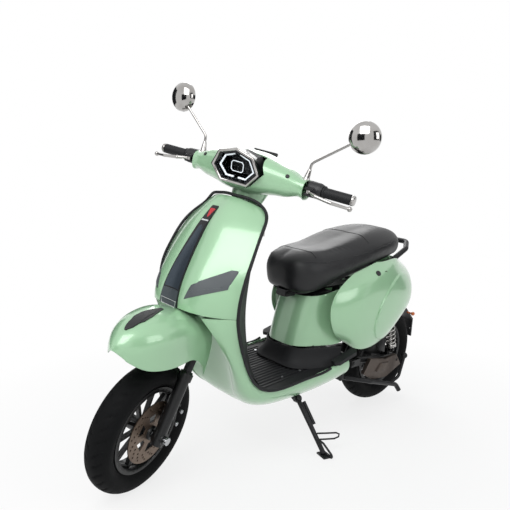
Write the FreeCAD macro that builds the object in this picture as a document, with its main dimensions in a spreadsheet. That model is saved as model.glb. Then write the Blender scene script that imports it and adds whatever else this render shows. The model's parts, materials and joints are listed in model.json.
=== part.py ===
import FreeCAD, Part
import math
import os
from types import SimpleNamespace

import Sketcher
from FreeCAD import Placement, Rotation, Vector

# Moped scooter, leaning on its side stand with the handlebar turned to the left.
# Vehicle axes while upright: +X the rider's left, +Y to the rear, +Z up, origin on the ground about
# midway between the axles.  Every piece is drawn upright and straight; the lean and the steering turn of the
# parked scooter are Placements.  Lengths are millimetres, angles degrees.

SIZES = [
    # chassis geometry
    ("wheelbase", 1258, "front axle to rear axle"),
    ("datum_setback", 18, "bodywork datum behind the front axle"),
    ("rake", 26.5, "steering axis from the vertical"),
    ("trail", 62, "ground trail of the front wheel"),
    ("lean", 5.48, "lean onto the side stand"),
    ("parked_steer", 20, "steering turned left while parked"),
    # wheels
    ("tyre_radius", 223, "110/70-12 tyre"),
    ("tyre_half_width", 46, "half width of the tyre"),
    ("tyre_wall", 9, "thickness of the tyre carcass"),
    ("flange_radius", 150, "outer radius of the rim flange"),
    ("bed_radius", 140, "radius of the tyre bed"),
    ("barrel_radius", 134, "inside of the rim barrel"),
    ("barrel_half_width", 32, "half width of the rim"),
    ("flange_lip", 5, "thickness of a rim flange"),
    ("web_half", 7, "half thickness of the spokes"),
    ("spoke_count", 10, "spokes in a wheel"),
    ("disc_windows", 6, "windows inside the braking band"),
    ("disc_hole_rows", 16, "slanting rows of drilled holes"),
    ("front_hub_radius", 24, "front hub"),
    ("front_hub_half", 50, "half length of the front hub"),
    ("motor_hub_radius", 84, "hub motor in the rear wheel"),
    ("motor_hub_half", 42, "half width of the hub motor"),
    ("axle_radius", 7, "both axles"),
    ("running_gap", 0.05, "radial clearance of a turning fit"),
    ("disc_radius", 106, "front brake disc"),
    ("disc_inner", 64, "inside of the braking band"),
    ("disc_thickness", 4, "front brake disc"),
    ("disc_offset", 42, "disc from the wheel centre"),
    # front fork and steering
    ("leg_spacing", 78, "fork leg from the centre plane"),
    ("leg_lead", 48, "fork legs ahead of the steering axis"),
    ("stanchion_radius", 14, "fork stanchions"),
    ("slider_radius", 20, "fork sliders"),
    ("slider_top", 224, "slider top above the axle, along the fork"),
    ("fork_travel", 55, "compression of the fork"),
    ("yoke_height", 298, "lower yoke above the axle, along the fork"),
    ("yoke_thickness", 22, "lower yoke"),
    ("stem_radius", 12.5, "steering stem"),
    ("head_radius", 25, "head tube outside"),
    ("head_bore", 21, "head tube bore"),
    ("head_bottom", 720, "head tube bottom along the steering axis"),
    ("head_top", 940, "head tube top along the steering axis"),
    # handlebar
    ("bar_height", 1030, "handlebar above the ground"),
    ("bar_forward", 46, "handlebar ahead of the steering axis"),
    ("bar_radius", 11, "handlebar tube"),
    ("bar_wall", 2.5, "wall of the handlebar tube"),
    ("grip_start", 267, "inner end of a grip"),
    ("grip_length", 98, "length of a grip"),
    ("grip_radius", 16.5, "outside of a grip"),
    ("lever_reach", 36, "lever ahead of the handlebar"),
    ("mirror_radius", 49, "mirror head"),
    ("mirror_depth", 30, "depth of the mirror shell"),
    ("mirror_spread", 342, "mirror centre from the centre plane"),
    ("mirror_height", 1214, "mirror centre above the ground"),
    ("stem_wire", 4.2, "radius of a mirror stem"),
    # bodywork
    ("panel_wall", 2.6, "wall of the painted panels"),
    ("trim_radius", 5, "rubber edge trim"),
    ("shield_half", 209, "half width of the leg shield"),
    ("deck_height", 310, "edge of the footboard above the ground"),
    ("deck_half", 183, "half width of the footboard"),
    ("deck_thickness", 5, "footboard mat"),
    ("deck_slope", 3.6, "footboard rises to the rear"),
    ("rib_pitch", 17, "spacing of the footboard ribs"),
    ("rib_height", 2.5, "height of the footboard ribs"),
    ("seat_height", 816, "top of the seat above the ground"),
    ("seat_half", 150, "half width of the seat"),
    ("rail_radius", 11, "grab rail"),
    # chassis tubes and stands
    ("spine_radius", 22, "main frame tube"),
    ("side_tube_radius", 14, "side frame tubes"),
    ("pivot_radius", 9, "swingarm pivot shaft"),
    ("shock_spread", 104, "shock absorber from the centre plane"),
    ("stand_bar", 9, "half width of the side stand leg"),
    ("battery_length", 230, "battery along the scooter"),
    ("battery_width", 150, "battery across the scooter"),
    ("battery_height", 180, "battery"),
    ("plate_hole_pitch", 40, "number plate fixing holes"),
    ("plate_hole_radius", 3.2, "number plate fixing holes"),
]

doc = FreeCAD.newDocument("MopedScooter")
sheet = doc.addObject("Spreadsheet::Sheet", "Sizes")
for row, (alias, number, note) in enumerate(SIZES, start=1):
    sheet.set("A%d" % row, alias)
    sheet.set("B%d" % row, str(number))
    sheet.set("C%d" % row, note)
    sheet.setAlias("B%d" % row, alias)
doc.recompute()


class Size:
    """A number from the sheet together with the expression that gives it."""

    def __init__(self, value, text):
        self.value = float(value)
        self.text = text

    def combine(self, other, sign, swap=False):
        other = other if isinstance(other, Size) else Size(other, repr(float(other)))
        left, right = (other, self) if swap else (self, other)
        numbers = {"+": left.value + right.value, "-": left.value - right.value,
                   "*": left.value * right.value}
        value = numbers[sign] if sign in numbers else left.value / right.value
        return Size(value, "(%s %s %s)" % (left.text, sign, right.text))

    def __add__(self, other):
        return self.combine(other, "+")

    def __radd__(self, other):
        return self.combine(other, "+", swap=True)

    def __sub__(self, other):
        return self.combine(other, "-")

    def __rsub__(self, other):
        return self.combine(other, "-", swap=True)

    def __mul__(self, other):
        return self.combine(other, "*")

    def __rmul__(self, other):
        return self.combine(other, "*", swap=True)

    def __truediv__(self, other):
        return self.combine(other, "/")

    def __neg__(self):
        return self.combine(0, "-", swap=True)

    def __float__(self):
        return self.value


size = SimpleNamespace(**{alias: Size(sheet.get(alias), "Sizes." + alias) for alias, _, _ in SIZES})
mm = SimpleNamespace(**{alias: float(sheet.get(alias)) for alias, _, _ in SIZES})

X, Y, Z = Vector(1, 0, 0), Vector(0, 1, 0), Vector(0, 0, 1)
ORIGIN = Vector(0, 0, 0)
CLEAR = 0.4          # gap between panels and pieces that only lie near each other
FIT = 0.1            # gap round a cover or cap seated on its carrier
SEAT_PIN = 4         # radius of the seat's hinge pin
STAND_BOLT = 6       # radius of the stands' pivots
BUSH = 1.5           # room for the rubber bush in a shock absorber's lower eye
nodes = []           # (object, frame name) of every sub-part


# ---------------------------------------------------------------- places and frames

rear_y = (mm.wheelbase - mm.datum_setback) / 2
front_y = -rear_y                                     # the bodywork's front datum
axle_y = front_y - mm.datum_setback
axis_foot = Vector(0, axle_y - mm.trail, 0)
fork_frame = Placement(axis_foot, Rotation(X, -mm.rake))
front_axle = Vector(0, axle_y, mm.tyre_radius)
rear_axle = Vector(0, rear_y, mm.tyre_radius)
axle_in_fork = fork_frame.inverse().multVec(front_axle)
axle_s = axle_in_fork.z
steer_axis = fork_frame.Rotation.multVec(Z)


def axis_point(along):
    """Point of the steering axis at this distance from where it meets the ground."""
    return fork_frame.multVec(Vector(0, 0, along))


def fore(behind, height, across=0):
    """Point this far behind the bodywork's front datum."""
    return Vector(across, front_y + behind, height)


def aft(ahead, height, across=0):
    """Point this far ahead of the rear axle."""
    return Vector(across, rear_y - ahead, height)


lean_place = Placement(ORIGIN, Rotation(Y, mm.lean))
steer_place = Placement(axis_foot, Rotation(steer_axis, mm.parked_steer)) * Placement(-axis_foot, Rotation())


def tyre_low(place, axle):
    """Lowest height of a tyre whose axle is the vehicle's X axis in this placement."""
    across = place.Rotation.multVec(X)
    ring = mm.tyre_radius - mm.tyre_half_width
    return place.multVec(axle).z - ring * math.sqrt(1 - across.z ** 2) - mm.tyre_half_width


front_low = tyre_low(lean_place * steer_place, front_axle)
rear_low = tyre_low(lean_place, rear_axle)
pitch = math.degrees(math.atan2(rear_low - front_low, mm.wheelbase))
settle = Placement(ORIGIN, Rotation(X, -pitch)) * lean_place
settle = Placement(Vector(0, 0, -tyre_low(settle, rear_axle)), Rotation()) * settle
frames = {"body": settle, "steered": settle * steer_place}


# ---------------------------------------------------------------- small makers

def node(name, thing, frame="body"):
    """Register an object as a sub-part: its Label is the node's name."""
    thing.Label = name
    nodes.append((thing, frame))
    return thing


def bind(thing, **sizes):
    """Set properties from sizes; a Size is bound to its cells."""
    for name, value in sizes.items():
        setattr(thing, name, float(value))
        if isinstance(value, Size):
            thing.setExpression(name, value.text)
    return thing


def turned(direction):
    """Rotation that lays the Z axis along a direction."""
    return Rotation(Z, direction)


def cylinder(name, radius, length, start, direction=Z):
    rod = bind(doc.addObject("Part::Cylinder", name), Radius=radius, Height=length)
    rod.Placement = Placement(start, turned(direction))
    return rod


def block(name, length, width, height, middle, rotation=Rotation()):
    """Box given by its middle."""
    box = bind(doc.addObject("Part::Box", name), Length=length, Width=width, Height=height)
    corner = Vector(-float(length) / 2, -float(width) / 2, -float(height) / 2)
    box.Placement = Placement(middle, rotation) * Placement(corner, Rotation())
    return box


def fuse(name, parts):
    whole = doc.addObject("Part::MultiFuse", name)
    whole.Shapes = parts
    return whole


def cut(name, base, tools):
    tool = tools[0] if len(tools) == 1 else fuse(name + "_tools", tools)
    rest = doc.addObject("Part::Cut", name)
    rest.Base = base
    rest.Tool = tool
    return rest


def group(name, parts):
    whole = doc.addObject("Part::Compound", name)
    whole.Links = parts
    return whole


def feature(name, shape):
    """A sub-part or a piece of one whose shape is made by Part's own functions."""
    made = doc.addObject("Part::Feature", name)
    made.Shape = shape
    return made


def smooth_surface(rows):
    """Smooth surface through rows of points."""
    surface = Part.BSplineSurface()
    surface.approximate(Points=[[Vector(*point) for point in row] for row in rows],
                        DegMin=3, DegMax=5, Tolerance=0.3, Continuity=2)
    return surface


def offset_rows(rows, distance, outward):
    """The rows moved along the surface's normal, away from it on the outward side."""
    surface = smooth_surface(rows)
    sign = 1 if surface.normal(0.5, 0.5).dot(outward) > 0 else -1
    moved = []
    for row in rows:
        spots = [surface.parameter(Vector(*point)) for point in row]
        normals = [surface.normal(*spot) for spot in spots]
        moved.append([Vector(*point) + normal * (sign * distance) for point, normal in zip(row, normals)])
    return moved


def panel(rows, low, high, outward):
    """Solid between two offsets of the surface through the rows, positive to the outside."""
    below = smooth_surface(offset_rows(rows, low, outward))
    above = smooth_surface(offset_rows(rows, high, outward))
    faces = [below.toShape(), above.toShape()]
    for end in range(2):
        faces.append(Part.makeRuledSurface(below.uIso(end).toShape(), above.uIso(end).toShape()))
        faces.append(Part.makeRuledSurface(below.vIso(end).toShape(), above.vIso(end).toShape()))
    shell = Part.makeShell(faces)
    shell.sewShape()
    solid = Part.Solid(shell.Shells[0])
    if solid.Volume < 0:
        solid.reverse()
    return solid


def both_sides(half_row):
    """Row of points across the scooter from the half on its left side, centre first."""
    left = [Vector(*point) for point in half_row]
    right = [Vector(-point.x, point.y, point.z) for point in reversed(left) if point.x > 0]
    return right + left


def mirrored(shape):
    return shape.mirror(ORIGIN, X)


def pair(shape):
    """The shape and its mirror image on the other side."""
    return Part.Compound([shape, mirrored(shape)])


def bent_wire(points, radius):
    """Straight runs joined by tangent arcs."""
    points = [Vector(*point) for point in points]
    edges = []
    start = points[0]
    for before, corner, after in zip(points, points[1:], points[2:]):
        into = (before - corner).normalize()
        away = (after - corner).normalize()
        half = into.getAngle(away) / 2
        reach = radius / math.tan(half)
        first, last = corner + into * reach, corner + away * reach
        centre = corner + (into + away).normalize() * (radius / math.sin(half))
        middle = centre + (corner - centre).normalize() * radius
        edges.append(Part.LineSegment(start, first).toShape())
        edges.append(Part.Arc(first, middle, last).toShape())
        start = last
    edges.append(Part.LineSegment(start, points[-1]).toShape())
    return Part.Wire(edges)


def swept(path, radius):
    """Round bar along a wire."""
    edge = path.OrderedEdges[0]
    direction = edge.tangentAt(edge.FirstParameter)
    ring = Part.Wire(Part.makeCircle(radius, edge.valueAt(edge.FirstParameter), direction))
    return path.makePipeShell([ring], True, False).Solids[0]


def bar(points, radius, bend):
    return swept(bent_wire(points, bend), radius)


def largest(shape):
    return max(shape.Solids, key=lambda solid: solid.Volume)


def lofted(sections):
    return Part.makeLoft(sections, True, False)


def prism(outline, start_y, end_y):
    """Solid over an outline given as across and height, between two distances along the scooter."""
    points = [Vector(across, start_y, height) for across, height in outline]
    face = Part.Face(Part.makePolygon(points + points[:1]))
    return face.extrude(Vector(0, end_y - start_y, 0))


def rounded_prism(outline, radius, start_y, end_y):
    solid = prism(outline, start_y, end_y)
    upright = [edge for edge in solid.Edges if abs(edge.tangentAt(edge.FirstParameter).y) > 0.99]
    return solid.makeFillet(radius, upright)


# ---------------------------------------------------------------- sketches and bodies

def new_body(name):
    body = doc.addObject("PartDesign::Body", name)
    body.Label = name
    return body


def new_sketch(body, name, role):
    sketch = body.newObject("Sketcher::SketchObject", name)
    plane = [item for item in body.Origin.OriginFeatures if item.Role == role][0]
    sketch.AttachmentSupport = (plane, "")
    sketch.MapMode = "FlatFace"
    return sketch


def add_bound(sketch, kind, *where):
    """Constraint whose last argument is its size."""
    value = where[-1]
    index = sketch.addConstraint(Sketcher.Constraint(kind, *where[:-1], float(value)))
    if isinstance(value, Size):
        sketch.setExpression("Constraints[%d]" % index, value.text)


def fix_point(sketch, edge, end, across, up):
    """Tie a point to the sketch's origin by its two distances."""
    for kind, value, axis in (("DistanceX", across, -2), ("DistanceY", up, -1)):
        if float(value) == 0:
            sketch.addConstraint(Sketcher.Constraint("PointOnObject", edge, end, axis))
        elif float(value) > 0:
            add_bound(sketch, kind, -1, 1, edge, end, value)
        else:
            add_bound(sketch, kind, edge, end, -1, 1, -value)


def draw_outline(sketch, corners):
    """Closed outline of straight lines through corners given as (across, up)."""
    first = sketch.GeometryCount
    flat = [Vector(float(across), float(up), 0) for across, up in corners]
    for start, end in zip(flat, flat[1:] + flat[:1]):
        sketch.addGeometry(Part.LineSegment(start, end))
    count = len(corners)
    for index in range(count):
        follower = first + (index + 1) % count
        sketch.addConstraint(Sketcher.Constraint("Coincident", first + index, 2, follower, 1))
        fix_point(sketch, first + index, 1, *corners[index])


def draw_circle(sketch, radius, across=0, up=0):
    index = sketch.addGeometry(Part.Circle(Vector(float(across), float(up), 0), Z, float(radius)))
    fix_point(sketch, index, 3, across, up)
    add_bound(sketch, "Radius", index, radius)


def pad(body, name, sketch, length, midplane=False):
    grown = body.newObject("PartDesign::Pad", name)
    grown.Profile = sketch
    grown.Midplane = midplane
    return bind(grown, Length=length)


def revolve(body, name, sketch, axis="V_Axis"):
    spun = body.newObject("PartDesign::Revolution", name)
    spun.Profile = sketch
    spun.ReferenceAxis = (sketch, [axis])
    spun.Angle = 360
    return spun


def pocket(body, name, sketch):
    """Pocket through everything, both ways from the sketch."""
    hollow = body.newObject("PartDesign::Pocket", name)
    hollow.Profile = sketch
    hollow.Type = 1
    hollow.Midplane = True
    return hollow


def ring_of(body, name, feature_item, count):
    """Polar pattern about the body's Z axis."""
    pattern = body.newObject("PartDesign::PolarPattern", name)
    pattern.Originals = [feature_item]
    axis = [item for item in body.Origin.OriginFeatures if item.Role == "Z_Axis"][0]
    pattern.Axis = (axis, [""])
    pattern.Angle = 360
    pattern.Occurrences = int(float(count))
    pattern.setExpression("Occurrences", count.text)
    body.Tip = pattern
    return pattern


def spun_body(name, corners, place=Placement()):
    """Body turned about its Z axis from an outline of (radius, along) corners."""
    body = new_body(name)
    sketch = new_sketch(body, name + "_section", "XZ_Plane")
    draw_outline(sketch, corners)
    revolve(body, name + "_turned", sketch)
    body.Placement = place
    return body


along_x = Rotation(Y, 90)          # lays a body's Z axis along the scooter's X


# ---------------------------------------------------------------- wheels

def rim(name, hub_radius, hub_half, centre):
    """Cast wheel: hub, spokes and barrel."""
    bore = size.axle_radius + size.running_gap
    barrel, bed, flange = size.barrel_radius, size.bed_radius, size.flange_radius
    half, lip, web = size.barrel_half_width, size.flange_lip, size.web_half
    right = [(bore, -hub_half), (hub_radius, -hub_half), (hub_radius, -web), (barrel, -web),
             (barrel, -half), (flange, -half), (flange, lip - half), (bed, lip - half)]
    left = [(radius, -along) for radius, along in reversed(right)]
    body = spun_body(name, right + left, Placement(centre, along_x))
    window = new_sketch(body, name + "_window", "XY_Plane")
    near, far = hub_radius + 12, barrel - 7
    spread = math.tan(math.pi / mm.spoke_count)
    narrow, wide = near * spread - 5, far * spread - 7
    draw_outline(window, [(near, -narrow), (far, -wide), (far, wide), (near, narrow)])
    hole = pocket(body, name + "_spoke_gap", window)
    ring_of(body, name + "_spokes", hole, size.spoke_count)
    return node(name, body, "steered" if name.startswith("front") else "body")


def tyre(name, centre):
    """Tyre carcass with a rounded crown, seated on the bed between the flanges."""
    half, crown, wall = mm.tyre_half_width, mm.tyre_radius, mm.tyre_wall
    bed, flange = mm.bed_radius, mm.flange_radius
    seat_half = mm.barrel_half_width - mm.flange_lip

    def outline(inset):
        side = half - inset
        top = crown - inset
        foot = seat_half - inset
        belly = flange + 0.45 * (crown - flange)
        shoulder_height = crown - 0.34 * half
        shoulder = Vector(0.83 * half - inset, 0, shoulder_height - inset / 2)
        return (Vector(foot, 0, bed), Vector(foot, 0, flange + 1), Vector(side, 0, belly), shoulder,
                Vector(0, 0, top))

    def section(inset):
        foot, rise, belly, shoulder, top = outline(inset)
        flip = [Vector(-point.x, 0, point.z) for point in (foot, rise, belly, shoulder)]
        wall_curve = Part.BSplineCurve()
        wall_curve.interpolate([rise, belly, shoulder])
        wall_back = Part.BSplineCurve()
        wall_back.interpolate([flip[3], flip[2], flip[1]])
        return [Part.LineSegment(foot, rise).toShape(), wall_curve.toShape(),
                Part.Arc(shoulder, top, flip[3]).toShape(), wall_back.toShape(),
                Part.LineSegment(flip[1], flip[0]).toShape()]

    outer, inner = section(0), section(wall)
    ends = [outline(0)[0], outline(wall)[0]]
    caps = [Part.LineSegment(ends[0], ends[1]).toShape(),
            Part.LineSegment(Vector(-ends[1].x, 0, bed), Vector(-ends[0].x, 0, bed)).toShape()]
    wire = Part.Wire(Part.__sortEdges__(outer + inner + caps))
    solid = Part.Face(wire).revolve(ORIGIN, X, 360)
    solid = solid.Solids[0] if solid.Solids else Part.Solid(Part.Shell(solid.Faces))
    made = feature(name, solid)
    made.Placement = Placement(centre, Rotation())
    return node(name, made, "steered" if name.startswith("front") else "body")


front_rim = rim("front_rim", size.front_hub_radius, size.front_hub_half, front_axle)
rear_rim = rim("rear_rim", size.motor_hub_radius, size.motor_hub_half, rear_axle)
tyre("front_tyre", front_axle)
tyre("rear_tyre", rear_axle)


def brake_disc():
    """Drilled disc: braking band, arms and inner ring on the hub."""
    body = new_body("front_brake_disc")
    plate = new_sketch(body, "disc_plate", "XY_Plane")
    draw_circle(plate, size.disc_radius)
    draw_circle(plate, size.front_hub_radius)
    pad(body, "disc_pad", plate, size.disc_thickness, midplane=True)
    window = new_sketch(body, "disc_window", "XY_Plane")
    near, far = size.front_hub_radius + 12, size.disc_inner
    draw_outline(window, [(near, -9), (far, -20), (far, 20), (near, 9)])
    ring_of(body, "disc_windows", pocket(body, "disc_window_cut", window), size.disc_windows)
    drill = new_sketch(body, "disc_drill", "XY_Plane")
    band = size.disc_radius - size.disc_inner
    draw_circle(drill, band * 0.09, size.disc_inner + band * 0.3, 0)
    draw_circle(drill, band * 0.09, size.disc_inner + band * 0.52, band * 0.24)
    draw_circle(drill, band * 0.09, size.disc_inner + band * 0.7, band * 0.5)
    ring_of(body, "disc_holes", pocket(body, "disc_drill_cut", drill), size.disc_hole_rows)
    body.Placement = Placement(front_axle + X * mm.disc_offset, along_x)
    return node("front_brake_disc", body, "steered")


brake_disc()


# ---------------------------------------------------------------- fork and axle

lug_inner = size.leg_spacing - size.slider_radius
nut_reach = 14
front_axle_body = spun_body("front_axle", [
    (0, -(size.leg_spacing + size.slider_radius + nut_reach)),
    (size.axle_radius + 6, -(size.leg_spacing + size.slider_radius + nut_reach)),
    (size.axle_radius + 6, -(size.leg_spacing + size.slider_radius)),
    (size.axle_radius, -(size.leg_spacing + size.slider_radius)),
    (size.axle_radius, -lug_inner),
    (size.axle_radius + 5, -lug_inner),
    (size.axle_radius + 5, -(size.front_hub_half + CLEAR)),
    (size.axle_radius, -(size.front_hub_half + CLEAR)),
    (size.axle_radius, size.front_hub_half + CLEAR),
    (size.axle_radius + 5, size.front_hub_half + CLEAR),
    (size.axle_radius + 5, lug_inner),
    (size.axle_radius, lug_inner),
    (size.axle_radius, size.leg_spacing + size.slider_radius),
    (size.axle_radius + 6, size.leg_spacing + size.slider_radius),
    (size.axle_radius + 6, size.leg_spacing + size.slider_radius + nut_reach),
    (0, size.leg_spacing + size.slider_radius + nut_reach)],
    Placement(front_axle, along_x))
node("front_axle", front_axle_body, "steered")


def fork_point(across, lead, along):
    """Point of the fork given across, ahead of the steering axis and along it."""
    return fork_frame.multVec(Vector(across, -lead, along))


def fork_sliders():
    legs = []
    for side, name in ((1, "left"), (-1, "right")):
        foot = fork_point(side * mm.leg_spacing, mm.leg_lead, axle_s - 26)
        leg = cylinder("slider_" + name, size.slider_radius, size.slider_top + 26, foot, steer_axis)
        collar = cylinder("collar_" + name, size.slider_radius + 4, 24,
                          fork_point(side * mm.leg_spacing, mm.leg_lead, axle_s + mm.slider_top - 30),
                          steer_axis)
        lug_start = front_axle + X * (side * mm.leg_spacing - mm.slider_radius)
        lug = cylinder("lug_" + name, size.axle_radius + 13, size.slider_radius * 2, lug_start, X)
        parts = [leg, collar, lug]
        if side > 0:
            ear = block("caliper_ear", 14, 46, 64, front_axle + Vector(mm.leg_spacing - 14, 44, 62),
                        Rotation(X, -mm.rake))
            parts.append(ear)
        bore = cylinder("stanchion_bore_" + name, size.stanchion_radius + size.running_gap, size.slider_top,
                        fork_point(side * mm.leg_spacing, mm.leg_lead, axle_s + 30), steer_axis)
        axle_bore = cylinder("axle_bore_" + name, size.axle_radius, size.slider_radius * 2 + 2,
                             lug_start - X, X)
        legs.append(cut("slider_leg_" + name, fuse("slider_parts_" + name, parts), [bore, axle_bore]))
    return node("fork_sliders", group("fork_sliders", legs), "steered")


fork_sliders()

yoke_s = axle_s + mm.yoke_height


def fork_stanchions():
    legs = []
    for side, name in ((1, "left"), (-1, "right")):
        foot = fork_point(side * mm.leg_spacing, mm.leg_lead, axle_s + 34 + mm.fork_travel)
        legs.append(cylinder("stanchion_" + name, size.stanchion_radius,
                             size.yoke_height - size.fork_travel - 34 + size.yoke_thickness, foot, steer_axis))
    return node("fork_stanchions", group("fork_stanchions", legs), "steered")


fork_stanchions()

bar_y = axis_foot.y + mm.bar_height * math.tan(math.radians(mm.rake)) - mm.bar_forward
bar_centre = Vector(0, bar_y, mm.bar_height)
bar_in_fork = fork_frame.inverse().multVec(bar_centre)


def steering_stem():
    """Lower yoke, stem tube, handlebar clamp and the two headset bearings on the stem."""
    turn = fork_frame.Rotation
    middle_s = yoke_s + mm.yoke_thickness / 2
    cross = block("yoke_cross", (size.leg_spacing + size.stanchion_radius + 2) * 2, 38, size.yoke_thickness,
                  fork_point(0, mm.leg_lead, middle_s), turn)
    web = block("yoke_web", 64, size.leg_lead + size.stem_radius + 8, size.yoke_thickness,
                fork_point(0, (mm.leg_lead - mm.stem_radius - 8) / 2, middle_s), turn)
    yoke = fuse("yoke", [cross, web])
    holes = [cylinder("yoke_hole_%d" % side, size.stanchion_radius, size.yoke_thickness + 2,
                      fork_point(side * mm.leg_spacing, mm.leg_lead, yoke_s - 1), steer_axis)
             for side in (1, -1)]
    stem_length = bar_in_fork.z - 8 - yoke_s
    stem = cylinder("stem_tube", size.stem_radius, stem_length, axis_point(yoke_s + 2), steer_axis)
    clamp_depth = -bar_in_fork.y + 36
    clamp = block("bar_clamp", 52, clamp_depth, 34,
                  fork_point(0, clamp_depth / 2 - 18, bar_in_fork.z - 4), turn)
    bar_hole = cylinder("clamp_hole", size.bar_radius, 60, bar_centre - X * 30, X)
    body = cut("stem_body", fuse("stem_parts", [cut("yoke_bored", yoke, holes), stem, clamp]), [bar_hole])
    bearings = []
    for along, name in ((mm.head_bottom, "lower"), (mm.head_top - 14, "upper")):
        outer = cylinder("bearing_%s_outer" % name, size.head_bore - size.running_gap, 14,
                         axis_point(along), steer_axis)
        inner = cylinder("bearing_%s_inner" % name, size.stem_radius, 16, axis_point(along - 1), steer_axis)
        bearings.append(cut("bearing_" + name, outer, [inner]))
    return node("steering_stem", group("steering_stem", [body] + bearings), "steered")


steering_stem()


def front_caliper():
    """Caliper behind the left fork leg, astride the disc, with two mounting bolts."""
    turn = Rotation(X, -mm.rake)
    middle = front_axle + Vector(mm.disc_offset + 4, 76, 66)
    body = block("caliper_body", 25, 44, 74, middle, turn)
    slot = cylinder("caliper_slot", size.disc_radius + 2, size.disc_thickness + 3,
                    front_axle + X * (mm.disc_offset - mm.disc_thickness / 2 - 1.5), X)
    bolts = []
    for up in (-20, 20):
        start = middle + turn.multVec(Vector(12, -14, up))
        bolts.append(cylinder("caliper_bolt_%d" % (up + 20), 5, mm.leg_spacing + 10 - start.x, start, X))
    hose = cylinder("hose_union", 4, 22, middle + turn.multVec(Vector(6, 6, 36)), turn.multVec(Z))
    parts = fuse("caliper_parts", [body] + bolts + [hose])
    return node("front_caliper", cut("front_caliper", parts, [slot]), "steered")


front_caliper()


# ---------------------------------------------------------------- front fender

# Half sections of the fender: (across, behind the axle, height), crown first.
FENDER_ROWS = [
    [(0, -195, 556), (12, -192, 552), (22, -186, 545), (30, -179, 537), (34, -174, 530)],
    [(0, -186, 578), (24, -181, 572), (40, -170, 556), (50, -160, 535), (56, -150, 512)],
    [(0, -160, 603), (36, -153, 595), (59, -142, 573), (70, -132, 541), (75, -124, 500)],
    [(0, -118, 622), (46, -112, 613), (75, -102, 586), (86, -95, 544), (90, -92, 494)],
    [(0, -60, 632), (54, -56, 622), (87, -50, 592), (98, -46, 545), (101, -44, 489)],
    [(0, 0, 632), (58, 2, 622), (91, 5, 590), (102, 6, 543), (105, 8, 488)],
    [(0, 54, 622), (60, 55, 611), (93, 58, 579), (103, 60, 532), (106, 50, 487)],
    [(0, 104, 606), (60, 107, 592), (93, 113, 556), (102, 113, 507), (105, 98, 461)],
    [(0, 168, 580), (58, 172, 563), (88, 176, 523), (97, 160, 436), (98, 150, 391)],
]


def fender_rows():
    return [both_sides([(x, front_y + y, z) for x, y, z in row]) for row in FENDER_ROWS]


def front_fender():
    """Pressed fender fixed to the lower yoke."""
    shell = panel(fender_rows(), -mm.panel_wall, 0, Z)
    return node("front_fender", feature("front_fender", shell), "steered")


def fender_trim():
    """Blade-shaped trim on the fender's crown."""
    outline = [(0, -152), (10, -140), (15, -112), (12, -60), (5, -22), (0, -14),
               (-5, -22), (-12, -60), (-15, -112), (-10, -140)]
    points = [Vector(x, front_y + y, 500) for x, y in outline]
    curve = Part.BSplineCurve()
    curve.interpolate(Points=points, PeriodicFlag=True)
    blade = Part.Face(Part.Wire(curve.toShape())).extrude(Z * 200)
    trim = panel(fender_rows(), 0, 3.5, Z).common(blade)
    return node("fender_trim", feature("fender_trim", trim.Solids[0]), "steered")


front_fender()
fender_trim()


# ---------------------------------------------------------------- bodywork surfaces

def shield_row(points):
    """Row of the leg shield from (share of the half width, behind the axle, height)."""
    return both_sides([(share * mm.shield_half, front_y + y, z) for share, y, z in points])


# Leg shield from the seam above the wheel arch to its top edge, centre outwards.
SHIELD_ROWS = [
    [(0, 91, 612), (0.23, 88, 613), (0.44, 95, 611), (0.7, 141, 601), (0.977, 197, 600)],
    [(0, 103, 666), (0.23, 98, 666), (0.44, 103, 665), (0.7, 144, 664), (1, 199, 664)],
    [(0, 128, 724), (0.22, 123, 724), (0.42, 128, 724), (0.68, 164, 724), (1, 214, 724)],
    [(0, 157, 776), (0.21, 152, 776), (0.4, 157, 776), (0.66, 189, 776), (0.977, 238, 776)],
    [(0, 188, 825), (0.2, 183, 825), (0.39, 190, 825), (0.63, 219, 825), (0.93, 267, 825)],
    [(0, 221, 873), (0.19, 217, 873), (0.37, 226, 873), (0.6, 257, 873), (0.86, 301, 873)],
    [(0, 251, 908), (0.17, 248, 908), (0.33, 258, 908), (0.54, 287, 906), (0.777, 326, 898)],
    [(0, 275, 933), (0.16, 273, 933), (0.31, 282, 931), (0.5, 306, 925), (0.7, 337, 913)],
    [(0, 299, 954), (0.15, 298, 953), (0.29, 305, 949), (0.45, 321, 940), (0.63, 341, 925)],
]

# Rear-facing inner shield, centre outwards.
INNER_ROWS = [
    [(0, 398, 303), (0.3, 394, 303), (0.6, 372, 304), (0.85, 346, 306)],
    [(0, 392, 333), (0.3, 388, 333), (0.6, 366, 336), (0.85, 342, 338)],
    [(0, 384, 384), (0.3, 378, 384), (0.6, 345, 386), (0.87, 300, 388)],
    [(0, 370, 470), (0.3, 362, 470), (0.62, 316, 470), (0.9, 256, 470)],
    [(0, 361, 600), (0.32, 350, 600), (0.66, 288, 600), (0.95, 214, 600)],
    [(0, 372, 700), (0.32, 360, 700), (0.66, 296, 700), (0.965, 224, 700)],
    [(0, 384, 790), (0.3, 374, 790), (0.62, 320, 790), (0.93, 258, 790)],
    [(0, 396, 870), (0.26, 388, 870), (0.54, 352, 870), (0.83, 312, 870)],
    [(0, 402, 926), (0.22, 396, 925), (0.45, 376, 921), (0.64, 355, 912)],
]

# Half outline of the tie, vents and badge on the shield: (across, height).
TIE_TOP, TIE_BOTTOM, BADGE_TOP = 918, 607, 664
VENT = [(70, 671), (103, 707), (170, 748), (190, 748), (180, 706), (160, 694)]


def shield_skin(low, high):
    return panel([shield_row(row) for row in SHIELD_ROWS], low, high, -Y)


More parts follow.
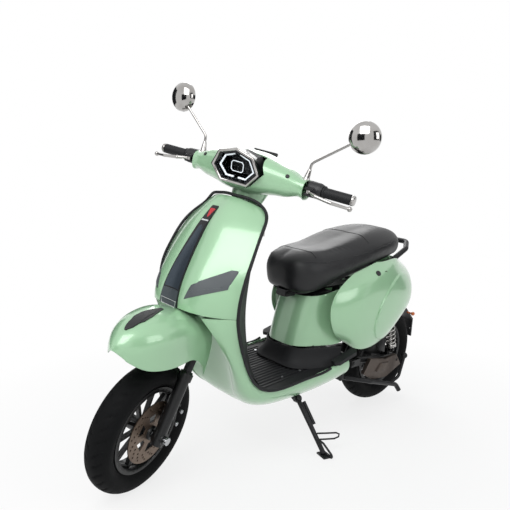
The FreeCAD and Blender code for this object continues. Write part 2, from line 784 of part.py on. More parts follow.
def tie_outline(grow=0):
    """Outline of the centre tie, narrow at the top and widening downward."""
    return [(-9 - grow, TIE_TOP + grow), (9 + grow, TIE_TOP + grow), (17 + grow, 880), (30 + grow, 720),
            (37 + grow, TIE_BOTTOM - grow), (-37 - grow, TIE_BOTTOM - grow), (-30 - grow, 720),
            (-17 - grow, 880)]


def flip(outline):
    return [(-across, height) for across, height in outline]


def shield_prism(outline, radius):
    """Column through the shield over an outline on its front."""
    return rounded_prism(outline, radius, front_y - 100, front_y + 330)


def leg_shield():
    """Painted front shield with pockets for the two vents."""
    shell = shield_skin(-mm.panel_wall, 0)
    for outline in (VENT, flip(VENT)):
        shell = shell.cut(shield_prism(outline, 6))
    return node("leg_shield", feature("leg_shield", shell.Solids[0]))


def vent_grilles():
    """Dark louvred inserts in the vent pockets, proud of the paint by a little."""
    skin = shield_skin(-mm.panel_wall, 1)
    grilles = []
    for outline in (VENT, flip(VENT)):
        middle_x = sum(x for x, z in outline) / len(outline)
        middle_z = sum(z for x, z in outline) / len(outline)
        share = 1 - FIT / 20
        inner = [(middle_x + (x - middle_x) * share, middle_z + (z - middle_z) * share) for x, z in outline]
        grilles.append(skin.common(shield_prism(inner, 6)))
    return node("vent_grilles", feature("vent_grilles", Part.Compound(grilles)))


def badge_outline(gap):
    return [(-31 + gap, BADGE_TOP - gap), (31 - gap, BADGE_TOP - gap),
            (31 - gap, TIE_BOTTOM + 9 + gap), (-31 + gap, TIE_BOTTOM + 9 + gap)]


def centre_trim():
    """Tie-shaped trim down the middle of the shield, open round the badge block."""
    trim = shield_skin(0, 4).common(shield_prism(tie_outline(), 4)).cut(shield_prism(badge_outline(0), 3))
    return node("centre_trim", feature("centre_trim", trim.Solids[0]))


def badge_plate():
    """Blank badge block set in the foot of the tie."""
    plate = shield_skin(0, 5).common(shield_prism(badge_outline(FIT), 3))
    return node("badge_plate", feature("badge_plate", plate.Solids[0]))


def inner_shield():
    """Rear-facing cover of the shield with the hole for the ignition lock."""
    shell = panel([shield_row(row) for row in INNER_ROWS], -mm.panel_wall, 0, Y)
    lock = Part.makeCylinder(15, 60, fore(340, 830, 62), Y)
    return node("inner_shield", feature("inner_shield", shell.cut(lock).Solids[0]))


leg_shield()
vent_grilles()
centre_trim()
badge_plate()
inner_shield()

DECK_Z = mm.deck_height
# Upper edge of the lower panels, which the rubber trim follows: share of the width, place, height.
EDGE = [
    fore(197, 598, 204), fore(212, 531, 202), fore(243, 456, 197), fore(283, 384, 192),
    fore(333, DECK_Z + 24, 187), fore(391, DECK_Z + 3, 187), fore(479, DECK_Z, 187),
    fore(581, DECK_Z + 6, 187), aft(550, DECK_Z + 17, 187), aft(433, DECK_Z + 22, 185),
]
# Lower or forward edge of the same panels, and two curves between that give their bulge.
RIDGE = [
    fore(122, 594, 126), fore(165, 526, 150), fore(206, 460, 153), fore(252, 372, 138),
    fore(300, 282, 116), fore(372, 234, 100), fore(470, 217, 96),
    fore(581, 215, 96), aft(550, 217, 98), aft(410, 234, 104),
]
BULGE_TOP = [
    fore(173, 597, 179), fore(193, 528, 186), fore(226, 452, 186), fore(268, 372, 186),
    fore(318, 308, 187), fore(385, 284, 189), fore(476, 282, 190),
    fore(581, 286, 190), aft(550, 294, 189), aft(426, 300, 184),
]
BULGE_LOW = [
    fore(146, 596, 155), fore(178, 526, 172), fore(212, 452, 174), fore(254, 366, 168),
    fore(304, 288, 160), fore(377, 250, 156), fore(473, 240, 158),
    fore(581, 240, 158), aft(550, 246, 158), aft(418, 262, 156),
]


def belly_panels():
    """Lower side panels from the shield's seam round to the rear of the footboard."""
    shell = panel([EDGE, BULGE_TOP, BULGE_LOW, RIDGE], -mm.panel_wall, 0, X)
    return node("belly_panels", feature("belly_panels", pair(shell)))


def wheel_arch_panel():
    """Concave panel behind the front wheel, between the two lower side panels."""
    inset = mm.panel_wall + 6 * CLEAR
    rows = []
    for ridge, depth in zip(RIDGE[:6], (262, 268, 272, 283, 305, 350)):
        across = ridge.x - inset
        middle = Vector(0, front_y + depth, ridge.z + 4)
        edge = Vector(across, ridge.y + 2, ridge.z)
        quarter = Vector(across * 0.72, edge.y + (middle.y - edge.y) * 0.66, ridge.z + 2)
        inner = Vector(across * 0.36, edge.y + (middle.y - edge.y) * 0.93, ridge.z + 3)
        rows.append(both_sides([middle, inner, quarter, edge]))
    shell = panel(rows, -mm.panel_wall, 0, -Y)
    return node("wheel_arch_panel", feature("wheel_arch_panel", shell))


def shield_trim():
    """Rubber edge trim: up one side of the shield, over its top and down the other side."""
    out = mm.trim_radius + 3.1
    side = [Vector(point.x + out, point.y, point.z + 2) for point in reversed(EDGE[:-1])]
    upper = [Vector(row[-1][0] * mm.shield_half + out, front_y + row[-1][1], row[-1][2])
             for row in SHIELD_ROWS[1:-1]]
    corner = [Vector(140, front_y + 338, 928), Vector(120, front_y + 332, 941), Vector(90, front_y + 320, 951),
              Vector(50, front_y + 306, 958)]
    left = side + upper + corner
    right = [Vector(-point.x, point.y, point.z) for point in reversed(left)]
    curve = Part.BSplineCurve()
    curve.approximate(Points=left + [Vector(0, front_y + 300, 961)] + right, DegMin=3, DegMax=5, Tolerance=1.5)
    return node("shield_trim", feature("shield_trim", swept(Part.Wire(curve.toShape()), mm.trim_radius)))


belly_panels()
wheel_arch_panel()
shield_trim()


# ---------------------------------------------------------------- seat

# Seat sections: (behind the front axle, half width, underside height, crown height, saddle dip).
SEAT_SECTIONS = [
    (570, 34, 644, 690, 0), (580, 70, 618, 716, 0), (606, 102, 600, 740, 0), (648, 124, 596, 753, 2),
    (714, 136, 606, 764, 6), (790, 143, 626, 776, 10), (880, 149, 652, 792, 10), (970, 149, 676, 806, 4),
    (1050, 142, 692, 812, 0), (1106, 130, 700, 811, 0), (1158, 106, 706, 800, 0), (1188, 70, 718, 783, 0),
    (1200, 34, 734, 763, 0),
]


def seat_section(behind, half, low, crown, dip):
    """Closed cross-section of the cushion, with a crowned top that dips under the rider."""
    share = half / 149
    rise = mm.seat_height - 816
    low = low + rise
    crown = crown + rise
    tall = crown - low
    wide = half * mm.seat_half / 149
    spots = [(0, crown - dip), (wide * 0.45, crown - dip * 0.6 - 2 * share), (wide * 0.8, crown - tall * 0.13),
             (wide * 0.97, crown - tall * 0.36), (wide, low + tall * 0.36), (wide * 0.9, low + tall * 0.08),
             (wide * 0.6, low), (0, low)]
    left = [Vector(x, front_y + behind, z) for x, z in spots]
    right = [Vector(-point.x, point.y, point.z) for point in reversed(left[1:-1])]
    curve = Part.BSplineCurve()
    curve.interpolate(Points=left + right, PeriodicFlag=True)
    return Part.Wire(curve.toShape())


def seat():
    """Cushion with its base plate and front hinge tab."""
    cushion = lofted([seat_section(*row) for row in SEAT_SECTIONS])
    node("seat_cushion", feature("seat_cushion", cushion))
    rows = []
    for behind, half, low, crown, dip in SEAT_SECTIONS[2:-2]:
        height = low + mm.seat_height - 816
        rows.append(both_sides([(half * share, front_y + behind, height) for share in (0, 0.2, 0.4, 0.55)]))
    pan = panel(rows, -5, 1, Z).cut(cushion)
    hinge = seat_hinge()
    lug = Part.makeBox(44, 18, 26, Vector(-22, hinge.y - 8, hinge.z - 7))
    bore = Part.makeCylinder(SEAT_PIN + mm.running_gap, 60, hinge - X * 30, X)
    node("seat_pan", feature("seat_pan", largest(pan.fuse(lug.cut(cushion)).cut(bore))))
    return cushion


def seat_hinge():
    """Centre of the seat's hinge pin."""
    return fore(600, 582 + mm.seat_height - 816)


cushion = seat()


def rail_loop(radius):
    """Loop of tube behind the seat, on two feet under the seat."""
    lift = mm.seat_height - 816
    half = [(98, rear_y - 202, 668 + lift), (101, rear_y - 108, 680 + lift), (97, rear_y - 8, 722 + lift),
            (54, rear_y + 57, 741 + lift)]
    return bar(half + [(-x, y, z) for x, y, z in reversed(half)], radius, 30)


node("grab_rail", feature("grab_rail", rail_loop(mm.rail_radius)))


# ---------------------------------------------------------------- footboard, column and cowls

# Plan outline of the column at three heights, from the front centre round the left side.
COLUMN_ROWS = [
    [(0, 604, 0.16), (50, 608, 0.16), (86, 636, 0.16), (112, 690, 0.16), (133, 745, 0.16), (151, 790, 0.18)],
    [(0, 619, 0.31), (49, 623, 0.31), (84, 650, 0.31), (106, 702, 0.31), (121, 760, 0.31), (142, 810, 0.31)],
    [(0, 638, 0.45), (47, 642, 0.45), (80, 664, 0.45), (102, 712, 0.45), (115, 775, 0.46), (137, 835, 0.46)],
    [(0, 652, 0.53), (46, 656, 0.53), (80, 676, 0.535), (102, 718, 0.545), (119, 790, 0.58), (137, 885, 0.63)],
]


def column_height(share):
    """Height between the footboard and the seat top, by share."""
    return DECK_Z + share * (mm.seat_height - DECK_Z)


def seat_column_cover():
    """Painted cover in front of the battery, under the nose of the seat."""
    rows = [both_sides([(x, front_y + y, column_height(share)) for x, y, share in row]) for row in COLUMN_ROWS]
    shell = panel(rows, -mm.panel_wall, 0, -Y)
    return node("seat_column_cover", feature("seat_column_cover", shell))


# Half surface of a side cowl, front edge to tail: each row runs from the bottom to the top.
COWL_ROWS = [
    [(150, 430, 395), (160, 510, 450), (158, 538, 520), (153, 520, 590), (146, 440, 650), (134, 300, 700)],
    [(176, 390, 370), (190, 440, 445), (192, 456, 520), (186, 436, 596), (170, 362, 656), (150, 250, 698)],
    [(182, 310, 360), (202, 330, 430), (207, 334, 520), (200, 318, 606), (180, 262, 664), (144, 190, 700)],
    [(176, 210, 382), (199, 205, 446), (205, 202, 524), (195, 192, 602), (168, 160, 660), (132, 126, 698)],
    [(146, 96, 436), (170, 72, 484), (178, 62, 536), (166, 62, 600), (138, 66, 650), (104, 72, 686)],
    [(88, 0, 480), (104, -30, 512), (110, -42, 548), (104, -36, 600), (86, -14, 644), (62, 10, 676)],
    [(2, -50, 500), (2, -84, 524), (2, -94, 552), (2, -84, 602), (2, -50, 646), (2, -16, 674)],
]


def cowl_rows():
    return [[(x, rear_y - y, z) for x, y, z in row] for row in COWL_ROWS]


def cowl_pad():
    """Raised oval pad on the side of a cowl."""
    oval = Part.Wire(Part.Ellipse(ORIGIN, 158, 104).toShape())
    oval.Placement = Placement(aft(182, 516), Rotation(Vector(1, 0, 0), 40) * Rotation(Y, 90) * Rotation(Z, 90))
    column = Part.Face(oval).extrude(X * 400)
    return panel(cowl_rows(), 0, 4.5, X).common(column)


def side_cowls():
    """Bulged rear side covers; the left one carries the seat lock."""
    shell = panel(cowl_rows(), -mm.panel_wall, 0, X).fuse(cowl_pad())
    shell = largest(shell.cut(Part.Compound([cushion.translated(Vector(0, 0, -3)), rail_loop(mm.rail_radius + 1)])))
    lock_hole = Part.makeCylinder(11, 60, aft(252, 656, 150) - X * 30, X)
    node("side_cowl_left", feature("side_cowl_left", shell.cut(lock_hole).Solids[0]))
    node("side_cowl_right", feature("side_cowl_right", mirrored(shell).Solids[0]))


seat_column_cover()
side_cowls()


def footboard():
    """Rubber-topped floor: a flat mat with ribs along it, raised round the foot of the column."""
    mat = new_body("floor_mat")
    plan = new_sketch(mat, "mat_plan", "XY_Plane")
    half = size.deck_half
    draw_outline(plan, [(-half * 0.62, -252), (-40, -252), (-40, -195), (40, -195), (40, -252),
                        (half * 0.62, -252), (half * 0.94, -215), (half, -150),
                        (half, 190), (half * 0.9, 230), (-half * 0.9, 230), (-half, 190),
                        (-half, -150), (-half * 0.94, -215)])
    pad(mat, "mat_pad", plan, size.deck_thickness)
    rib = new_sketch(mat, "rib_plan", "XY_Plane")
    draw_outline(rib, [(-half * 0.86, -180), (size.rib_pitch * 0.45 - half * 0.86, -180),
                       (size.rib_pitch * 0.45 - half * 0.86, 60), (-half * 0.86, 60)])
    ridge = pad(mat, "rib_pad", rib, size.deck_thickness + size.rib_height)
    row = mat.newObject("PartDesign::LinearPattern", "ribs")
    row.Originals = [ridge]
    row.Direction = (rib, ["H_Axis"])
    count = int(1 + 1.66 * mm.deck_half / mm.rib_pitch)
    row.Length = (count - 1) * mm.rib_pitch
    row.setExpression("Length", "%d * Sizes.rib_pitch" % (count - 1))
    row.Occurrences = count
    mat.Tip = row
    deck_turn = Rotation(X, mm.deck_slope)
    mat.Placement = Placement(fore(581, mm.deck_height - 4), deck_turn)
    wall = mm.deck_thickness
    rows = []
    for lift, grow in ((0.01, 30), (0.045, 16), (0.1, 7), (0.15, 4)):
        base = [(x, y, share) for x, y, share in COLUMN_ROWS[0]]
        rows.append(both_sides([(x + grow * (x > 0), front_y + y - grow, column_height(lift))
                                for x, y, share in base]))
    collar = feature("floor_collar", panel(rows, 0, wall, -Y))
    return node("footboard", fuse("footboard", [mat, collar]))


footboard()


# ---------------------------------------------------------------- frame and battery

pivot_point = aft(300, 262)
shock_low = aft(30, 272)
shock_high = aft(96, 510)
shock_line = (shock_high - shock_low).normalize()


def ground_foot():
    """Middle of the stand's foot plate on the ground."""
    return Vector(263, -4, 1)


def side_stand_foot():
    return settle.inverse().multVec(ground_foot())


def side_stand_pivot():
    return Vector(118, -12, 197)


def stand_axis():
    """Axis of the side stand's bolt: square to the leg down and the leg folded back."""
    down = (side_stand_foot() - side_stand_pivot()).normalize()
    back = Vector(0.25, 1, 0.02).normalize()
    return down.cross(back).normalize()


stand_pivot = aft(330, 196)        # centre stand


def seat_bracket():
    """Strut over the column with the ears and pin of the seat's hinge, and the cross tube it starts from."""
    hinge = seat_hinge()
    strut = Part.makeBox(50, aft(192, 0).y - hinge.y - 30, 6, Vector(-25, hinge.y + 30, hinge.z - 2))
    cross = Part.makeCylinder(8, 2 * 92, Vector(-92, aft(192, 0).y, hinge.z), X)
    ears = [Part.makeBox(4, 45, 12, Vector(side * 26 - 2, hinge.y - 6, hinge.z - 6)) for side in (1, -1)]
    pin = Part.makeCylinder(SEAT_PIN, 52, hinge - X * 26, X)
    return [strut, cross, pin] + ears


def stand_brackets():
    """Bolt and lug of the side stand, and the rod and plates of the centre stand."""
    pivot, axis = side_stand_pivot(), stand_axis()
    bolt = Part.makeCylinder(STAND_BOLT, 36, pivot - axis * 26, axis)
    head = Part.makeCylinder(STAND_BOLT + 4, 5, pivot + axis * (mm.stand_bar + 1), axis)
    lug = bar([fore(600, 252, 84), Vector(82, pivot.y, 200), pivot - axis * 18], 8, 12)
    rod = Part.makeCylinder(STAND_BOLT, 180, stand_pivot - X * 90, X)
    plates = [Part.makeBox(8, 21, 81, stand_pivot + Vector(side * 86 - 4, -17, -7)) for side in (1, -1)]
    return [bolt, head, lug, rod] + plates


def main_frame():
    """Welded tube frame: head tube, spine, floor cross tube, two rails and the seat loop."""
    head = Part.makeCylinder(mm.head_radius, mm.head_top - mm.head_bottom, axis_point(mm.head_bottom), steer_axis)
    bore = Part.makeCylinder(mm.head_bore, mm.head_top - mm.head_bottom + 2, axis_point(mm.head_bottom - 1),
                             steer_axis)
    neck = axis_point((mm.head_bottom + mm.head_top) / 2)
    spine = bar([neck, fore(318, 470), fore(322, 320), fore(382, 242), fore(620, 242)], mm.spine_radius, 60)
    cross = Part.makeCylinder(mm.side_tube_radius, 2 * 84, fore(600, 252, -84), X)
    rails = []
    for side in (1, -1):
        route = [fore(600, 252, side * 84), aft(330, 268, side * 84), aft(250, 430, side * 92),
                 aft(190, 590, side * 92), aft(40, 632, side * 80)]
        rails.append(bar(route, mm.side_tube_radius, 50))
        rails.append(Part.makeCylinder(8, 28, shock_high + X * (side * 84), X * side))
    tie = Part.makeCylinder(mm.side_tube_radius, 2 * 92, aft(216, 520, -92), X)
    pivot = Part.makeCylinder(mm.pivot_radius + 8, 2 * 97, aft(300, 262, -97), X)
    pivot_bore = Part.makeCylinder(mm.pivot_radius + mm.running_gap, 220, aft(300, 262, -110), X)
    frame = head.fuse([spine, cross, tie, pivot] + rails + seat_bracket() + stand_brackets())
    frame = frame.cut(Part.Compound([bore, pivot_bore]))
    return node("main_frame", feature("main_frame", frame.Solids[0]))


main_frame()


def battery_pack():
    """Battery case in the column with the motor controller on top of it."""
    case = block("battery_case", size.battery_width, size.battery_length - 40, size.battery_height,
                 aft(470, 450))
    controller = block("controller", size.battery_width - 30, 110, 36, aft(470, 450 + mm.battery_height / 2 + 18))
    return node("battery_pack", group("battery_pack", [case, controller]))


battery_pack()


# ---------------------------------------------------------------- handlebar and headset

def handlebar_tube():
    """Straight tube through the clamp."""
    reach = size.grip_start + size.grip_length - 3
    outer = cylinder("bar_outer", size.bar_radius, reach * 2, bar_centre - X * float(reach), X)
    inner = cylinder("bar_inner", size.bar_radius - size.bar_wall, reach * 2, bar_centre - X * float(reach), X)
    return node("handlebar_tube", cut("handlebar_tube", outer, [inner]), "steered")


handlebar_tube()


def grip(name, bore, frame, side):
    """Rubber grip with a raised flange at its inner end."""
    flange, body = size.grip_radius + 4, size.grip_radius
    corners = [(bore, 0), (flange, 0), (flange, 4), (body, 7), (body, size.grip_length - 8),
               (body - 1.5, size.grip_length - 4), (bore, size.grip_length - 4)]
    start = bar_centre + X * (side * mm.grip_start)
    return node(name, spun_body(name, corners, Placement(start, Rotation(Y, 90 * side))), frame)


grip("grip_left", size.bar_radius, "steered", 1)
grip("throttle_grip", size.bar_radius + size.running_gap, "steered", -1)


def bar_ends():
    """Plugs in the two ends of the handlebar tube."""
    caps = []
    bore = size.bar_radius - size.bar_wall
    for side, name in ((1, "left"), (-1, "right")):
        tip = bar_centre + X * (side * (mm.grip_start + mm.grip_length - 3))
        corners = [(0, -20), (bore, -20), (bore, 0.3), (size.grip_radius, 0.3), (size.grip_radius, 4),
                   (size.grip_radius - 2, 9), (0, 11)]
        caps.append(spun_body("bar_end_" + name, corners, Placement(tip, Rotation(Y, 90 * side))))
    return node("bar_ends", group("bar_ends", caps), "steered")


bar_ends()

HOUSING_START = 214


def switch_pocket(side, along, up):
    """Place of a switch on the rider's side of a housing, its Z axis pointing to the rider."""
    spot = bar_centre + X * (side * along) + Vector(0, 19, up)
    return Placement(spot, Rotation(X, -90))


SWITCHES = {"turn_switch": (1, 243, 8), "horn_button": (1, 243, -11), "start_button": (-1, 243, 4)}


def switch_housings():
    """Collars next to the grips, with the lever perches and the holes of the switches."""
    bodies = []
    for side, name in ((1, "left"), (-1, "right")):
        corners = [(size.bar_radius, 0), (22, 0), (26, 6), (25, 40), (21, size.grip_start - HOUSING_START - 2),
                   (size.bar_radius, size.grip_start - HOUSING_START - 2)]
        start = bar_centre + X * (side * HOUSING_START)
        collar = spun_body("housing_" + name, corners, Placement(start, Rotation(Y, 90 * side)))
        perch = block("perch_" + name, 26, 34, 24, lever_pivot(side) + Vector(0, 12, 0))
        slot = block("lever_slot_" + name, 60, 34, 10 + 2 * CLEAR,
                     lever_pivot(side) + Vector(side * 12, -6.5, 0))
        pin_hole = cylinder("lever_pin_hole_" + name, 4, 40, lever_pivot(side) - Z * 20)
        pin = cylinder("lever_pin_" + name, 4, 23, lever_pivot(side) - Z * 11.5)
        tools = [slot, pin_hole]
        for switch, (where, along, up) in SWITCHES.items():
            if where == side:
                spot = switch_pocket(side, along, up)
                wide = 24 if switch == "turn_switch" else 14
                tools.append(block("pocket_" + switch, wide + 1, 12 + 1, 14, spot.Base + Y * 2))
        shell = cut("housing_cut_" + name, fuse("housing_fused_" + name, [collar, perch]), tools)
        bar_gap = cylinder("bar_gap_" + name, size.bar_radius, 90, start - X * (side * 10), X * side)
        bodies.append(cut("housing_done_" + name, shell, [bar_gap]))
        bodies.append(pin)
    return node("switch_housings", group("switch_housings", bodies), "steered")


def lever_pivot(side):
    return bar_centre + Vector(side * 232, -mm.lever_reach, -4)


switch_housings()


def brake_lever(side):
    """Cast lever with a ball end, on a pin in its perch."""
    name = "brake_lever_" + ("left" if side > 0 else "right")
    pivot = lever_pivot(side)
    centre_line = [(0, 0, 0), (34, -24, -4), (88, -22, -11), (141, 2, -17)]
    points = [pivot + Vector(side * x, y, z) for x, y, z in centre_line]
    eye = Part.makeCylinder(9, 10, pivot - Z * 5)
    arms = []
    for start, end, first, last in zip(points, points[1:], (4.6, 5.5, 5), (5.5, 5, 4.5)):
        arms.append(Part.makeCone(first, last, (end - start).Length, start, end - start))
        arms.append(Part.makeSphere(last + 0.5, end))
    ball = Part.makeSphere(8, points[-1])
    lever = eye.fuse(arms + [ball])
    slab = Part.makeBox(60, 60, 10, pivot - Vector(30, 30, 5))
    near = Part.makeCylinder(22, 60, pivot - Z * 30)
    lever = lever.cut(near.cut(slab))
    bore = Part.makeCylinder(4 + mm.running_gap, 40, pivot - Z * 20)
    return node(name, feature(name, lever.cut(bore).Solids[0]), "steered")


for hand in (1, -1):
    brake_lever(hand)


def switches():
    for name, (side, along, up) in SWITCHES.items():
        spot = switch_pocket(side, along, up)
        wide = 10 if name == "turn_switch" else 13
        body = new_body(name)
        sketch = new_sketch(body, name + "_face", "XY_Plane")
        draw_outline(sketch, [(-wide / 2, -5), (wide / 2, -5), (wide / 2, 5), (-wide / 2, 5)])
        pad(body, name + "_pad", sketch, 13)
        body.Placement = spot
        node(name, body, "steered")


switches()

# Sections of the headset cover: (across, front, rear, bottom, top), as distances from the handlebar.
HEADSET_SECTIONS = [
    (0, -96, 84, -62, 72), (45, -94, 82, -61, 70), (84, -84, 70, -54, 62), (120, -70, 54, -47, 52),
    (160, -56, 40, -41, 40), (HOUSING_START - 2, -42, 30, -38, 26),
]


def mirror_base(side):
    """Foot of a mirror stem on the headset cover."""
    return Vector(side * 200, bar_y - 2, mm.bar_height + 26)


def headset_wire(section, inset):
    across, front, rear, bottom, top = section
    middle = bar_centre + Vector(across, (front + rear) / 2, (bottom + top) / 2)
    deep = (rear - front) / 2 - inset
    tall = (top - bottom) / 2 - inset
    spots = []
    for index in range(12):
        angle = index * math.pi / 6
        c, w = math.cos(angle), math.sin(angle)
        stretch = (abs(c) ** 2.6 + abs(w) ** 2.6) ** (-1 / 2.6)
        spots.append(middle + Vector(0, c * stretch * deep, w * stretch * tall))
    curve = Part.BSplineCurve()
    curve.interpolate(Points=spots, PeriodicFlag=True)
    return Part.Wire(curve.toShape())


def headset_solid(inset):
    right = [(-x, a, b, c, d) for x, a, b, c, d in reversed(HEADSET_SECTIONS[1:])]
    return lofted([headset_wire(section, inset) for section in right + HEADSET_SECTIONS])


def dash_box(length, depth, height):
    """Block at the instrument pod's place in the rear cover, facing the rider."""
    solid = Part.makeBox(length, depth, height, Vector(-length / 2, -depth / 2, -height / 2))
    solid.Placement = Placement(bar_centre + Vector(0, 64, 50), Rotation(X, -35))
    return solid


def headset_covers():
    """Front and rear halves of the handlebar cover, split along the bar, with the neck below."""
    shell = headset_solid(0).cut(headset_solid(mm.panel_wall))
    neck_low = axis_point(1042)
    neck = Part.makeCone(52, 64, 56, neck_low, steer_axis)
    neck = neck.cut(Part.makeCone(52 - mm.panel_wall, 64 - mm.panel_wall, 56, neck_low, steer_axis))
    neck = neck.cut(headset_solid(0))
    window = headlight_prism(CLEAR, -40, 112)
    bars = Part.makeCylinder(mm.bar_radius + FIT, 460, bar_centre - X * 230, X)
    split = bar_centre.y + 16
    front_box = Part.makeBox(600, 400, 400, Vector(-300, split - 400, mm.bar_height - 200))
    rear_box = Part.makeBox(600, 400, 400, Vector(-300, split + CLEAR, mm.bar_height - 200))
    throat = Part.makeCylinder(40, 120, axis_point(1040), steer_axis)
    boots = [Part.makeCylinder(12 + CLEAR, 80, mirror_base(side) - Z * 30) for side in (1, -1)]
    front = shell.common(front_box).cut(Part.Compound([window, bars, throat] + boots))
    front = front.fuse(neck)
    rear = shell.common(rear_box).cut(Part.Compound([bars, throat, neck] + boots))
    rear = rear.cut(dash_box(92, 30, 46))
    node("headset_cover_front", feature("headset_cover_front", largest(front)), "steered")
    node("headset_cover_rear", feature("headset_cover_rear", largest(rear)), "steered")


# Corners of the headlight frame about its centre, clockwise from the top: (across, up).
HEADLIGHT = [(0, 61), (66, 42), (91, -8), (53, -54), (-53, -54), (-91, -8), (-66, 42)]
light_centre = bar_centre + Vector(0, -104, 22)
light_tilt = Rotation(X, 8)


def headlight_prism(grow, start, length):
    """Solid over the headlight's outline; start and length run rearward from its face."""
    points = []
    for across, up in HEADLIGHT:
        reach = math.hypot(across, up)
        scale = (reach + grow) / reach
        points.append(Vector(across * scale, start, up * scale))
    face = Part.Face(Part.makePolygon(points + points[:1]))
    solid = face.extrude(Y * length)
    solid.Placement = Placement(light_centre, light_tilt)
    return solid


def headlight():
    """Chrome frame, domed lens and the light unit behind it."""
    frame = headlight_prism(0, -6, 58).cut(headlight_prism(-15, -10, 80))
    node("headlight_bezel", feature("headlight_bezel", largest(frame)), "steered")
    lens = headlight_prism(-15.5, -1, 4)
    node("headlight_lens", feature("headlight_lens", largest(lens)), "steered")
    pot = headlight_prism(-15.5, 12, 56).cut(headlight_prism(-19, 10, 48))
    daylight = headlight_prism(-17, 4, 7).cut(headlight_prism(-24, 2, 12))
    projector = Part.makeCylinder(26, 40, Vector(0, 12, 0), Y)
    projector.Placement = Placement(light_centre, light_tilt)
    unit = Part.Compound([largest(pot.fuse(projector)), largest(daylight)])
    node("headlight_unit", feature("headlight_unit", unit), "steered")


headset_covers()
headlight()


def dash_display():
    return node("dash_display", feature("dash_display", dash_box(90, 8, 44)), "steered")


dash_display()


def mirror_arms():
    """Bent wire stems with tapered rubber boots on the headset cover."""
    base = mirror_base(1)
    bend = base + Vector(5, 8, 52)
    head = Vector(mm.mirror_spread, bar_centre.y + 33, mm.mirror_height)
    end = head + (bend - head).normalize() * (mm.mirror_radius - 14) + Y * -6
    stem = bar([base - Z * 6, bend, end], mm.stem_wire, 22)
    boot = Part.makeCone(11, 5.5, 36, base - Z * 4, (bend - base).normalize())
    boot = boot.fuse(Part.makeCylinder(12, 9, base - Z * 8))
    knob = Part.makeSphere(8, end)
    arm = stem.fuse([boot, knob])
    node("mirror_arms", feature("mirror_arms", pair(arm)), "steered")
    return head, end


def mirror_head(name, side, head, knob):
    """Round chrome shell with a socket for the stem's ball and the glass on its rear face."""
    radius, depth = mm.mirror_radius, mm.mirror_depth
    shell = Part.makeSphere(radius, ORIGIN)
    squash = FreeCAD.Matrix()
    squash.scale(1, 2 * depth / (2 * radius), 1)
    shell = shell.transformGeometry(squash)
    shell = shell.common(Part.makeBox(200, 100, 200, Vector(-100, -100, -100)))
    rimmed = shell.fuse(Part.makeCylinder(radius, 8, ORIGIN, Y))
    glass_pocket = Part.makeCylinder(radius - 4, 4, Y * 5, Y)
    shell = rimmed.cut(glass_pocket)
    glass = Part.makeCylinder(radius - 4.3, 3, Y * 5.2, Y)
    place = Placement(head, Rotation(Z, 8) * Rotation(X, -4))
    shell.Placement = place
    glass.Placement = place
    socket = Part.makeSphere(12, knob).cut(Part.makeSphere(8 + CLEAR, knob))
    stem_way = Part.makeCone(9, 16, 30, knob, Vector(200, bar_centre.y + 6, mm.bar_height + 74) - knob)
    whole = shell.fuse(socket).cut(Part.Compound([stem_way, Part.makeSphere(8 + CLEAR, knob)]))
    both = Part.Compound([largest(whole), glass])
    if side < 0:
        both = mirrored(both)
    return node(name, feature(name, both), "steered")


mirror_place, mirror_knob = mirror_arms()
mirror_head("mirror_head_left", 1, mirror_place, mirror_knob)
mirror_head("mirror_head_right", -1, mirror_place, mirror_knob)


# ---------------------------------------------------------------- locks and lamps

def ignition_key():
    """Key with its barrel in the inner shield's lock hole."""
    start = fore(352, 830, 62)
    corners = [(0, 0), (15 - FIT, 0), (15 - FIT, 46), (0, 46)]
    barrel = spun_body("key_barrel", corners, Placement(start, Rotation(X, -90)))
    blade = block("key_blade", 4, 26, 20, start + Vector(0, 59, 0))
    return node("ignition_key", fuse("ignition_key", [barrel, blade]))


def seat_lock():
    """Round lock in the left cowl."""
    start = aft(252, 656, 150)
    corners = [(0, -16), (11 - FIT, -16), (11 - FIT, 16), (15, 16), (14, 20), (0, 21)]
    return node("seat_lock", spun_body("seat_lock", corners, Placement(start, along_x)))


ignition_key()
seat_lock()


def rear_lamps():
    """Tail lamp under the tail of the cowls and a turn lamp on each side of the plate bracket."""
    tail = Part.makeBox(64, 14, 34, aft(-112, 508, -32))
    turns = [Part.makeSphere(9, aft(-180, 392, side * 62)).fuse(
        Part.makeCylinder(4, 31, aft(-180, 392, side * 31), X * side)) for side in (1, -1)]
    return node("rear_lamps", feature("rear_lamps", Part.Compound([tail] + turns)))


def plate_bracket():
    """Narrow bracket behind the rear tyre with the number plate's holes."""
    body = new_body("bracket_strip")
    sketch = new_sketch(body, "bracket_side", "YZ_Plane")
    draw_outline(sketch, [(240, 262), (247, 262), (241, 350), (160, 424), (96, 494), (90, 488), (155, 419),
                          (234, 346)])
    pad(body, "bracket_pad", sketch, 60, midplane=True)
    drill = new_sketch(body, "bracket_holes", "XZ_Plane")
    for side in (1, -1):
        draw_circle(drill, size.plate_hole_radius, size.plate_hole_pitch / 2 * side, 300)
    pocket(body, "bracket_drill", drill)
    body.Placement = Placement(aft(0, 0), Rotation())
    return node("plate_bracket", body)


rear_lamps()
plate_bracket()


# ---------------------------------------------------------------- rear suspension and stands

